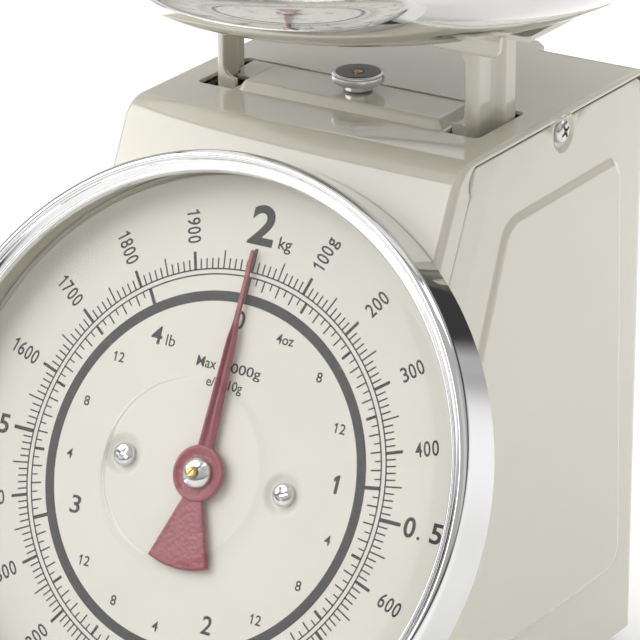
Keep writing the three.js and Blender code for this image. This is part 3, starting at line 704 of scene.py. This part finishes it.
parts = [annulus(0.9965 * R, 1.0035 * R, -0.05, 0.05), annulus(0.9705 * R, 0.9775 * R, -0.05, 0.05)]
for k in range(200):
    a = k * 1.8
    g = k * 10
    if g % 500 == 0:
        parts.append(bar(a, 1.0, 1.116, 1.05))
    elif g % 100 == 0:
        parts.append(bar(a, 1.0, 1.09, 0.85))
    elif g % 50 == 0:
        parts.append(bar(a, 1.0, 1.09, 0.42))
    else:
        parts.append(bar(a, 1.0, 1.0525, 0.40))
OZ = 81.65 / 16
for k in range(0, 129):
    a = k * OZ / 2
    if a > 327:
        break
    if k % 32 == 0:
        parts.append(bar(a, 0.893, 0.974, 1.0))
    elif k % 8 == 0:
        parts.append(bar(a, 0.918, 0.974, 0.8))
    elif k % 2 == 0:
        parts.append(bar(a, 0.918, 0.974, 0.42))
    else:
        parts.append(bar(a, 0.94, 0.974, 0.36))
v, f = merge(*parts)
obj_from("dial_graduations", v, f, M_ink, "housing", (), wn=False)
v, f = annulus(0.843 * R, 0.893 * R, -0.05, 0.045)
obj_from("dial_band", v, f, M_band, "housing", (), wn=False)


def glyphs(text, height, width, bold=0.0, res=8):
    """Outline of a short text as a mesh, centred, height and width in mm."""
    cu = bpy.data.curves.new("t", "FONT")
    cu.body = text
    cu.size = 10.0
    cu.extrude = 0.02
    cu.offset = bold
    cu.resolution_u = res
    cu.align_x = "LEFT"
    o = bpy.data.objects.new("t", cu)
    bpy.context.scene.collection.objects.link(o)
    bpy.context.view_layer.update()
    me = bpy.data.meshes.new_from_object(o.evaluated_get(bpy.context.evaluated_depsgraph_get()))
    vs = np.array([tuple(q.co) for q in me.vertices])
    fs = [tuple(p.vertices) for p in me.polygons]
    bpy.data.objects.remove(o)
    bpy.data.curves.remove(cu)
    bpy.data.meshes.remove(me)
    lo, hi = vs.min(0), vs.max(0)
    vs[:, 0] = (vs[:, 0] - (lo[0] + hi[0]) / 2) * (width / (hi[0] - lo[0]))
    vs[:, 1] = (vs[:, 1] - (lo[1] + hi[1]) / 2) * (height / (hi[1] - lo[1]))
    vs[:, 2] = np.where(vs[:, 2] > 0, 0.045, -0.05)
    return vs, fs


def put_text(vs, fs, cx, cy, rot):
    """rot in degrees anticlockwise; centre in mm."""
    a = math.radians(rot)
    c, s = math.cos(a), math.sin(a)
    return [D(cx + x * c - y * s, cy + x * s + y * c, z) for x, y, z in vs], fs


def one(height, stroke):
    """The digit one, drawn: a stem with a flag to its upper left. Centred; mm."""
    h, w = height / 2, stroke
    fl = 0.26 * height
    poly = [(fl / 2, -h), (fl / 2, h), (fl / 2 - w * 0.75, h), (fl / 2 - w - fl * 0.35, h - 0.13 * height), (-fl / 2 - w * 0.4, h - 0.20 * height), (-fl / 2 - w * 0.4, h - 0.20 * height - w * 1.0), (fl / 2 - w, h - 0.17 * height - w * 0.75), (fl / 2 - w, -h)]
    n_ = len(poly)
    vs_ = np.array([(x, y, 0.045) for x, y in poly] + [(x, y, -0.05) for x, y in poly])
    fs_ = [tuple(range(n_)), tuple(range(2 * n_ - 1, n_ - 1, -1))] + [(i, n_ + i, n_ + (i + 1) % n_, (i + 1) % n_) for i in range(n_)]
    return vs_, fs_


texts = []
HO, ADV = 0.072 * R, 0.0445 * R


def radial(label, ang, r_mid=1.218, last=None):
    """Digits in a row on the radial line at ang, reading outwards on the right half and inwards on the left."""
    a = math.radians(ang)
    rot = 90 - ang if ang <= 180 else 270 - ang
    c_, s_ = math.cos(math.radians(rot)), math.sin(math.radians(rot))
    n = len(label)
    for i, ch in enumerate(label):
        x = (i - (n - 1) / 2) * ADV
        vs, fs = one(HO, 0.20 * ADV) if ch == "1" else glyphs(ch, HO * (1.03 if ch in "03689" else 1.0), ADV * 0.80, 0.11)
        texts.append(put_text(vs, fs, r_mid * R * math.sin(a) + x * c_, r_mid * R * math.cos(a) + x * s_, rot))


def upright(label, x, y, h, w, bold=0.0):
    vs, fs = glyphs(label, h * R, w * R, bold)
    texts.append(put_text(vs, fs, x * R, y * R, 0))


for g in (200, 300, 400, 600, 700, 800, 900, 1100, 1200, 1300, 1400, 1600, 1700, 1800, 1900):
    radial(str(g), g * 0.18)
# 100g carries a descender
a = math.radians(18)
radial("100", 18, 1.131 + 0.0665)
vs, fs = glyphs("g", HO * 0.97, ADV * 0.9, 0.11)
rm, off = 1.131 + 0.158, 0.22 * HO
# the letter's foot drops below the line of the digits, clockwise round the dial
texts.append(put_text(vs, fs, rm * R * math.sin(a) + off * math.cos(a), rm * R * math.cos(a) - off * math.sin(a), 72))
upright("2", 0.005, 1.233, 0.196, 0.143, 0.28)
upright("kg", 0.1485, 1.159, 0.078, 0.073, 0.12)
upright("0", 1.166, 0.0, 0.098, 0.062, 0.2)
upright(".", 1.222, -0.041, 0.016, 0.016, 0.2)
upright("5", 1.312, 0.0, 0.098, 0.062, 0.2)
vs, fs = one(0.16 * R, 0.034 * R)
texts.append(put_text(vs, fs, -0.03 * R, -1.233 * R, 0))
upright("kg", 0.095, -1.262, 0.078, 0.073, 0.12)
upright(".", -1.262, -0.041, 0.016, 0.016, 0.2)
upright("5", -1.18, 0.0, 0.098, 0.062, 0.2)
vs, fs = one(0.098 * R, 0.022 * R)
texts.append(put_text(vs, fs, -1.325 * R, 0.0, 0))
for lab, x, y in (("4oz", 0.272, 0.72), ("8", 0.504, 0.584), ("12", 0.676, 0.370), ("4", 0.754, -0.156), ("8", 0.658, -0.40), ("12", 0.473, -0.609), ("4", -0.06, -0.765), ("8", -0.323, -0.698), ("12", -0.54, -0.549), ("4", -0.765, -0.06), ("8", -0.74, 0.21), ("12", -0.62, 0.455)):
    w = {"4oz": 0.098, "8": 0.031, "12": 0.062, "4": 0.034}[lab]
    if lab == "12":
        texts.append(put_text(*one(0.05 * R, 0.0075 * R), (x - 0.020) * R, y * R, 0))
        upright("2", x + 0.017, y, 0.05, 0.031, 0.12)
    else:
        upright(lab, x, y, 0.05, w, 0.12)
for lab, x, y in (("0", 0.0, 0.763), ("1", 0.73, 0.11), ("2", 0.22, -0.696), ("3", -0.6625, -0.295)):
    if lab == "1":
        texts.append(put_text(*one(0.09 * R, 0.017 * R), x * R, y * R, 0))
    else:
        upright(lab, x, y, 0.09, 0.056, 0.12)
upright("4", -0.435, 0.603, 0.09, 0.062, 0.16)
upright("lb", -0.352, 0.590, 0.056, 0.052, 0.03)
upright("Max", -0.125, 0.529, 0.052, 0.112, 0.1)
upright("2000g", 0.078, 0.523, 0.064, 0.215, 0.1)
upright("e/d=10g", 0.0, 0.437, 0.064, 0.205, 0.1)
v, f = merge(*texts)
obj_from("dial_numerals", v, f, M_ink, "housing", (), wn=False)

for side, s in (("left", -1), ("right", 1)):
    pan_screw(f"dial_screw_head_{side}", D, s * 0.46 * R, 0, -0.75, "housing", f"dial_screw_{side}", 3.25, 2.0, 0.35 * s)

# ------------------------------------------------------------------ bezel and window
bz = [(85.3, -2.4), (86.35, -2.5), (86.8, -2.1), (86.8, 0.0), (86.8, 4.0), (86.8, 8.0), (86.8, 11.4)]
bz += smooth_profile([(86.8, 11.6), (86.72, 12.5), (86.45, 13.3), (85.9, 13.9), (85.2, 14.25), (84.6, 14.12), (84.2, 13.7), (84.05, 13.0)], 3)
bz += smooth_profile([(83.95, 12.75), (83.8, 12.35), (83.3, 12.1), (82.6, 11.75), (82.25, 11.5)], 2)
bz += smooth_profile([(82.15, 11.55), (82.0, 11.8), (81.7, 11.95), (81.35, 11.85), (81.05, 11.5), (80.85, 11.0), (80.7, 10.4)], 3)
bz += [(80.7, 9.9), (84.4, 9.9), (85.1, 9.2), (85.3, 8.6)]
v, f = lathe(bz, 200, D, closed=True)
obj_from("bezel_ring", v, f, M_chrome, "housing", ["bezel"], sharp=38)

top = smooth_profile([(0, 12.1), (12, 12.08), (20, 12.0), (24.0, 11.85)], 3) + smooth_profile([(24.3, 11.95), (24.7, 11.85), (25.0, 11.35), (25.25, 10.85), (25.6, 10.5), (26.3, 10.6)], 3) + [(28, 10.48), (50, 10.35), (74.5, 10.2)] + smooth_profile([(75.5, 10.15), (77.0, 9.9), (78.6, 9.55), (80.5, 9.45)], 3) + [(84.4, 9.4)]
und = [(84.4, 8.4), (80.2, 8.45), (78.2, 8.6), (76.6, 9.0), (75.2, 9.2), (50, 9.35), (28, 9.45), (26.4, 9.5), (25.2, 10.0), (24.6, 10.6), (23.8, 10.8), (12, 11.05), (0, 11.1)]
v, f = lathe(top + und, 160, D)
obj_from("window", v, f, M_lens, "housing", ["lens"], sharp=50)

# ------------------------------------------------------------------ pointer
def build_pointer():
    parts_ = []
    # arm: cross-sections with two ribs and a groove between them
    ys = [4.0, 7.0, 9.6, 14, 20, 28, 34, 37.0, 38.4, 39.7, 41.0, 42.6, 46, 54, 61.0, 61.9]
    rows = []
    for y in ys:
        if y <= 37.6:
            w = 2.5 + (1.4 - 2.5) * (y - 4.0) / 33.6
            rib = 1.0 if y > 8 else 0.3
        elif y <= 42.6:
            w = 1.4 + (0.66 - 1.4) * (y - 37.6) / 5.0
            rib = 1.0 - (y - 37.6) / 5.0
        else:
            w = 0.66 + (0.5 - 0.66) * (y - 42.6) / 19.3
            rib = 0.0
        if y > 61.5:
            w *= 0.55
        z0, zt = 1.4, 2.35
        sec = [(-w, z0), (-w, zt - 0.25), (-w * 0.88, zt), (-w * 0.70, zt + 0.55 * rib), (-w * 0.50, zt + 0.6 * rib), (-w * 0.30, zt - 0.1 * rib), (-w * 0.14, zt - 0.55 * rib), (w * 0.14, zt - 0.55 * rib), (w * 0.30, zt - 0.1 * rib), (w * 0.50, zt + 0.6 * rib), (w * 0.70, zt + 0.55 * rib), (w * 0.88, zt), (w, zt - 0.25), (w, z0)]
        rows.append([(x, y, h) for x, h in sec])
    V = [D(*p) for row in rows for p in row]
    n_ = len(rows[0])
    F = []
    for i in range(len(rows) - 1):
        F += ring_faces(n_, i, i + 1)
    F += [tuple(range(n_)), tuple((len(rows) - 1) * n_ + k for k in range(n_))[::-1]]
    parts_.append((V, F))
    # counterweight: a sector with a rolled edge
    apex, rE, ha = 0.087 * R, 0.469 * R, math.radians(21.4)
    poly = [(-2.2, -4.5)] + [(rE * math.sin(-ha + 2 * ha * k / 16), -rE * math.cos(-ha + 2 * ha * k / 16)) for k in range(17)] + [(2.2, -4.5)]
    loops = [(poly, 1.4), (poly, 2.2), (offset_poly(poly, 0.35), 2.55), (offset_poly(poly, 0.9), 2.6), (offset_poly(poly, 1.3), 2.4)]
    V = [D(x, y, h) for l, h in loops for x, y in l]
    n_ = len(poly)
    F = []
    for i in range(len(loops) - 1):
        F += ring_faces(n_, i, i + 1)
    F += [tuple(range(n_)), tuple((len(loops) - 1) * n_ + k for k in range(n_))[::-1]]
    parts_.append((V, F))
    # hub with a raised ring
    parts_.append(lathe([(1.7, 1.3), (7.5, 1.3), (7.75, 1.6), (7.75, 2.7), (7.45, 3.05), (6.9, 3.1), (6.4, 2.8), (6.0, 2.55), (5.0, 2.5), (1.7, 2.5)], 72, D, closed=True))
    v_, f_ = merge(*parts_)
    return obj_from("pointer_hand", v_, f_, M_red, "pointer", ["pointer"], sharp=50)


build_pointer()
v, f = lathe([(1.62, 2.7), (4.35, 2.7), (4.45, 2.95), (4.4, 3.35), (4.1, 4.0), (3.5, 4.6), (2.7, 5.0), (2.1, 5.15), (1.75, 5.2), (1.62, 5.1)], 56, D, closed=True)
dome = obj_from("dome_screw_head", v, f, M_screw, "pointer", ["dome_screw"], sharp=45)
c, s = math.cos(0.9), math.sin(0.9)
rp = lambda x, y, h: D(x * c - y * s, x * s + y * c, h)
cut(dome, *prism([(-6, -0.42), (6, -0.42), (6, 0.42), (-6, 0.42)], rp, 4.15, 7))
v, f = lathe([(0, -32.4), (1.5, -32.4), (1.5, 6.1), (1.42, 6.5), (1.1, 6.85), (0, 6.9)], 32, D)
sh = obj_from("pointer_axle", v, f, M_brass, "pointer", ["pointer_shaft"], sharp=40)
cut(sh, *prism([(-2, -0.22), (2, -0.22), (2, 0.22), (-2, 0.22)], rp, 6.3, 8))

# ------------------------------------------------------------------ load frame: posts and platform
PLATE_Z = ZD + 2.05 * R


def build_post(s):
    X, XR, r, t = 42.3, 44.9, 3.0, 1.5
    Y0, Y1, FX = 70.3, 87.9, 39.0
    ztop = PLATE_Z - 1.8
    zt = Z_TOP
    edge = [(38, FX), (zt - 24, FX), (zt - 20, 35.1), (zt + 1.4, 35.1)]
    edge += [(zt + 5.3 + 3.9 * math.sin(math.radians(a)), 35.1 + 3.9 * math.cos(math.radians(a))) for a in (-80, -68, -56, -44, -32, -20, -8, 0)]
    edge += [(PLATE_Z - 12.5, FX), (PLATE_Z - 11.5, FX - 0.1), (PLATE_Z - 10.4, FX - 0.45), (PLATE_Z - 9.4, FX - 1.05), (PLATE_Z - 8.6, FX - 1.75), (PLATE_Z - 8.0, FX - 2.3), (PLATE_Z - 7.3, FX - 2.55), (ztop, FX - 2.6)]
    jog = [(79.9, 0.0), (80.4, 0.07), (80.9, 0.26), (81.4, 0.5), (81.9, 0.74), (82.4, 0.93), (82.9, 1.0)]
    V, n_ = [], 0
    for z, xi in edge:
        sec = [(xi, Y0 + 0.25), (xi + 0.25, Y0)] + arc(X - r, Y0 + r, r, -88, 0, 8)
        sec += [(X + (XR - X) * f_, y) for y, f_ in jog] + [(XR, Y1 - 0.3), (XR - 0.3, Y1), (XR - t + 0.3, Y1), (XR - t, Y1 - 0.3)]
        sec += [(X - t + (XR - X) * f_, y + 0.55) for y, f_ in reversed(jog)]
        sec += arc(X - r, Y0 + r, r - t, 0, -88, 6) + [(xi + 0.2, Y0 + t), (xi, Y0 + t - 0.2)]
        n_ = len(sec)
        V += [W(s * x, y, z) for x, y in sec]
    F = []
    for i in range(len(edge) - 1):
        F += ring_faces(n_, i, i + 1)
    F += [tuple(range(n_)), tuple((len(edge) - 1) * n_ + k for k in range(n_))[::-1]]
    nm = "right" if s > 0 else "left"
    return obj_from(f"post_channel_{nm}", V, F, M_cream, "load_frame", [f"post_{nm}"], sharp=40)


build_post(1)
build_post(-1)


def build_platform():
    y0, y1, t, lipx, br, lh = 67.2, 95.6, 1.5, 51.5, 2.6, 7.1
    # centre: a strip bent down along the front
    out = [(y0 + 0.25, PLATE_Z - lh), (y0, PLATE_Z - lh + 0.3), (y0, PLATE_Z - 5.2)] + arc(y0 + br, PLATE_Z - br, br, 180, 90, 8)
    out += [(y1 - 0.4, PLATE_Z), (y1 - 0.1, PLATE_Z - 0.12), (y1, PLATE_Z - 0.45), (y1, PLATE_Z - t + 0.3), (y1 - 0.3, PLATE_Z - t)]
    inn = arc(y0 + br, PLATE_Z - br, br - t, 90, 180, 6) + [(y0 + t, PLATE_Z - 5.2), (y0 + t, PLATE_Z - lh + 0.3), (y0 + t - 0.25, PLATE_Z - lh)]
    sec = out + inn
    xs = [-lipx, -lipx + 0.5, -lipx + 1.2, -lipx + 2.6, 0, lipx - 2.6, lipx - 1.2, lipx - 0.5, lipx]
    V = []
    for x in xs:
        k = abs(x) - (lipx - 2.6)
        lift = 0.0 if k <= 0 else 2.6 - math.sqrt(max(0, 2.6 ** 2 - k * k))
        for y, z in sec:
            V.append(W(x, y, z + (lift if z < PLATE_Z - 6.7 else (lift * 0.35 if z < PLATE_Z - 5.1 else 0))))
    n_ = len(sec)
    F = []
    for i in range(len(xs) - 1):
        F += ring_faces(n_, i, i + 1)
    F += [tuple(range(n_)), tuple((len(xs) - 1) * n_ + k for k in range(n_))[::-1]]
    obj_from("platform_channel", V, F, M_cream, "load_frame", ["platform"], sharp=45)
    for s in (-1, 1):
        poly = round_poly([(s * (lipx - 0.8), y0 + 1.8), (s * 59.3, y0 + 1.8), (s * 59.3, y1), (s * (lipx - 0.8), y1)], [0.1, 2.4, 2.4, 0.1], 6)
        v_, f_ = prism(poly, place_z, PLATE_Z - t, PLATE_Z - 0.01)
        e = obj_from("platform_end_" + ("right" if s > 0 else "left"), v_, f_, M_cream, "load_frame", (), sharp=45)
        bevel(e, 0.5, 3)


build_platform()

# ------------------------------------------------------------------ zero plate, knob and screw
def build_zero_plate():
    half_ = [(34.3, 66.9), (34.3, 78.4), (40.3, 78.4), (40.3, 81.1), (43.0, 83.5), (43.0, 92.0)]
    out = round_poly(half_ + [(-x, y) for x, y in reversed(half_)], [1.5, 0.5, 1, 1, 1, 1, 1, 1, 1, 1, 0.5, 1.5], 4)
    v_, f_ = prism(out, place_z, Z_TOP - 1.6, Z_TOP - 0.3)
    base = obj_from("zero_plate_sheet", v_, f_, M_cream, "housing", ["zero_plate"], sharp=45)
    bevel(base, 0.3, 2)
    rr = lambda d: round_rect(-33.4 + d, 33.4 - d, 67.4 + d, 86.6 - d, max(2.8 - d, 0.5), 6)
    b0 = rr(0.0)
    loops = [(b0, -0.35), (rr(0.35), 0.05), (rr(0.9), 0.8), (rr(1.5), 1.6), (rr(1.9), 2.02), (rr(2.3), 2.24), (rr(2.7), 2.3)]
    V = [W(x, y, Z_TOP + h) for l, h in loops for x, y in l]
    n_ = len(b0)
    F = []
    for i in range(len(loops) - 1):
        F += ring_faces(n_, i, i + 1)
    F += [tuple(range(n_)), tuple((len(loops) - 1) * n_ + k for k in range(n_))[::-1]]
    obj_from("zero_plate_plateau", V, F, M_cream, "housing", (), sharp=50)


build_zero_plate()
KZ = Z_TOP + 2.3
n_ = 84
rows = []
for h, amp, off in ((2.55, 0.0, -0.45), (2.7, 0.6, -0.2), (2.95, 1.0, 0.0), (4.95, 1.0, 0.0), (5.18, 0.6, -0.2), (5.3, 0.0, -0.5)):
    row = []
    for k in range(n_ * 4):
        a = 2 * math.pi * k / (n_ * 4)
        r_ = 7.3 + off - 0.26 * amp * (0.5 - 0.5 * math.cos(a * n_))
        row.append(W(r_ * math.cos(a), KNOB_Y + r_ * math.sin(a), KZ + h))
    rows.append(row)
V = [p for row in rows for p in row]
F = []
for i in range(len(rows) - 1):
    F += ring_faces(n_ * 4, i, i + 1)
inner_top = [W(6.0 * math.cos(2 * math.pi * k / (n_ * 4)), KNOB_Y + 6.0 * math.sin(2 * math.pi * k / (n_ * 4)), KZ + 5.28) for k in range(n_ * 4)]
inner_bot = [W(4.1 * math.cos(2 * math.pi * k / (n_ * 4)), KNOB_Y + 4.1 * math.sin(2 * math.pi * k / (n_ * 4)), KZ + 2.5) for k in range(n_ * 4)]
rim_v = inner_bot + V + inner_top
F = [tuple(i + n_ * 4 for i in t_) for t_ in F]
F += ring_faces(n_ * 4, 0, 1) + ring_faces(n_ * 4, len(rows), len(rows) + 1)
low = [W(4.1 * math.cos(2 * math.pi * k / (n_ * 4)), KNOB_Y + 4.1 * math.sin(2 * math.pi * k / (n_ * 4)), KZ + 5.1) for k in range(n_ * 4)]
rim_v += low
F += ring_faces(n_ * 4, len(rows) + 1, len(rows) + 2) + [((len(rows) + 2) * n_ * 4 + k, (len(rows) + 2) * n_ * 4 + (k + 1) % (n_ * 4), (k + 1) % (n_ * 4), k) for k in range(n_ * 4)]
obj_from("knob_rim", rim_v, F, M_knob, "knob", ["zero_knob"], sharp=60, wn=False)
kp = lambda x, y, h: W(x, KNOB_Y + y, KZ + h)
v, f = lathe([(1.55, 4.9), (6.4, 4.9), (6.4, 5.28), (6.2, 5.36), (2.6, 5.36), (2.4, 5.26), (1.55, 5.26)], 64, kp, closed=True)
# knob top in polished steel with the painted dark reflection in its colour
obj_from("knob_top", v, f, M_knob_top_painted_dark, "knob", (), sharp=45)
v, f = lathe([(1.55, 0.3), (3.9, 0.3), (4.25, 0.55), (4.3, 0.9), (4.3, 2.45), (1.55, 2.45)], 64, kp, closed=True)
obj_from("knob_neck", v, f, M_knob, "knob", (), sharp=45)
v, f = lathe([(0, -28), (1.42, -28), (1.42, 5.2), (1.3, 5.5), (1.05, 5.62), (0, 5.65)], 32, kp)
zs_ = obj_from("zero_screw_end", v, f, M_brass, "adjuster", ["zero_screw"], sharp=45)
kp2 = lambda x, y, h: kp(x * 0.85 - y * 0.52, x * 0.52 + y * 0.85, h)
cut(zs_, *prism([(-2, -0.2), (2, -0.2), (2, 0.2), (-2, 0.2)], kp2, 5.1, 7))

# ------------------------------------------------------------------ bowl
def build_bowl():
    z0, r0, rho, th1, rho2, th2, wall, t = PLATE_Z + 0.35, 35.8, 100.8, 30, 44.8, 75, 13.6, 0.9
    rad = math.radians
    o = [(0, z0), (18, z0), (30, z0), (r0 - 1.5, z0 + 0.01)]
    for i in range(0, 13):
        a = rad(th1 * i / 12)
        o.append((r0 + rho * math.sin(a), z0 + rho * (1 - math.cos(a))))
    r1, z1 = o[-1]
    cx, cz = r1 - rho2 * math.sin(rad(th1)), z1 + rho2 * math.cos(rad(th1))
    for i in range(1, 15):
        a = rad(th1 + (th2 - th1) * i / 14)
        o.append((cx + rho2 * math.sin(a), cz - rho2 * math.cos(a)))
    r2, z2 = o[-1]
    e = (r2 + wall * math.cos(rad(th2)), z2 + wall * math.sin(rad(th2)))
    o += [((r2 * 2 + e[0]) / 3, (z2 * 2 + e[1]) / 3), ((r2 + e[0] * 2) / 3, (z2 + e[1] * 2) / 3)]
    cr, rr = (e[0] + 0.25, e[1] + 1.05), 1.05
    o += arc(cr[0], cr[1], rr, -75, 200, 12)
    inn = []
    for i in range(14, 0, -1):
        a = rad(th1 + (th2 - th1) * i / 14)
        inn.append((cx + (rho2 - t) * math.sin(a), cz - (rho2 - t) * math.cos(a)))
    for i in range(12, -1, -1):
        a = rad(th1 * i / 12)
        inn.append((r0 + (rho - t) * math.sin(a), z0 + rho - (rho - t) * math.cos(a)))
    inn += [(30, z0 + t), (18, z0 + t), (0, z0 + t)]
    v_, f_ = lathe(o + inn, 200, lambda x, y, h: W(x, AXIS_Y + y, h))
    obj_from("weighing_bowl", v_, f_, M_bowl, "bowl", ["bowl"], sharp=50)


build_bowl()

# ------------------------------------------------------------------ feet keep their solids; every kept node gets its finish
FINISH = {"base_plate": M_zinc, "lower_pivot_rod": M_steel, "upper_pivot_rod": M_steel, "rack": M_steel, "front_bush": M_brass, "rear_bush": M_brass, "pinion": M_brass}
for name, ob in frame["nodes"].items():
    mt = FINISH.get(name)
    if mt is None:
        if name.startswith("foot_") and "screw" not in name:
            mt = M_rubber
        elif name.startswith("load_spring"):
            mt = M_spring
        else:
            mt = M_zinc
    if not ob.material_slots:
        ob.data.materials.append(mt)
    for sl in ob.material_slots:
        sl.material = mt

# ------------------------------------------------------------------ stage, light, camera
def plane(name, z, half, mat):
    me = bpy.data.meshes.new(name)
    me.from_pydata([(-half, -half, z), (half, -half, z), (half, half, z), (-half, half, z)], [], [(0, 1, 2, 3)])
    ob = bpy.data.objects.new(name, me)
    bpy.context.scene.collection.objects.link(ob)
    me.materials.append(mat)
    return ob


m, nt, b = new_mat("floor_paper", (0.93, 0.93, 0.93), 0.6)
nt.links.new(ramp(nt, noise(nt, 3.0, 2.0), [(0.3, (0.925, 0.925, 0.925)), (0.7, (0.94, 0.94, 0.94))]), b.inputs["Base Color"])
plane("floor", -0.0002, 6.0, m)


def area(name, loc, target, sx, sy, power, color=(1, 1, 1)):
    li = bpy.data.lights.new(name, "AREA")
    li.shape = "RECTANGLE"
    li.size, li.size_y = sx, sy
    li.energy = power
    li.color = color
    ob = bpy.data.objects.new(name, li)
    ob.location = loc
    d = Vector(target) - Vector(loc)
    ob.rotation_euler = d.to_track_quat("-Z", "Y").to_euler()
    bpy.context.scene.collection.objects.link(ob)
    return ob


area("key_soft", (-1.5, -1.2, 1.7), (0, 0, 0.12), 2.4, 2.4, 46.0)
area("top_soft", (0.3, 0.9, 1.9), (0, 0, 0.12), 2.2, 1.8, 26.0)
area("right_soft", (1.7, -0.3, 0.9), (0, 0, 0.12), 1.2, 1.5, 1.0)

w = bpy.data.worlds.new("studio")
bpy.context.scene.world = w
w.use_nodes = True
nt = w.node_tree
bg = nt.nodes["Background"]
bg.inputs["Strength"].default_value = 0.52
tc = nt.nodes.new("ShaderNodeTexCoord")
sep = nt.nodes.new("ShaderNodeSeparateXYZ")
nt.links.new(tc.outputs["Generated"], sep.inputs["Vector"])
nt.links.new(ramp(nt, sep.outputs["Z"], [(0.0, (0.95, 0.95, 0.95)), (0.02, (0.08, 0.08, 0.08)), (0.10, (0.12, 0.12, 0.12)), (0.24, (0.92, 0.92, 0.91)), (1.0, (1.0, 1.0, 1.0))]), bg.inputs["Color"])

bpy.context.scene.view_settings.view_transform = "Standard"
bpy.context.scene.view_settings.look = "None"
bpy.context.scene.view_settings.exposure = 0.06

AZ, EL = math.radians(32.3706), math.radians(21.5161)
back = Vector((math.sin(AZ) * math.cos(EL), -math.cos(AZ) * math.cos(EL), math.sin(EL)))
right = Vector((math.cos(AZ), math.sin(AZ), 0))
up = back.cross(right)
cam = bpy.data.cameras.new("camera")
cam.sensor_width = 36.0
cam.lens = 250.88
cam.clip_start = 0.05
cam.clip_end = 30
co = bpy.data.objects.new("camera", cam)
loc = W(0, 0, ZD) + Vector((11.02312, -16.33421, 8.56360)) * R * MM
mw = Matrix((right, up, back)).transposed().to_4x4()
mw.translation = loc
co.matrix_world = mw
bpy.context.scene.collection.objects.link(co)
bpy.context.scene.camera = co
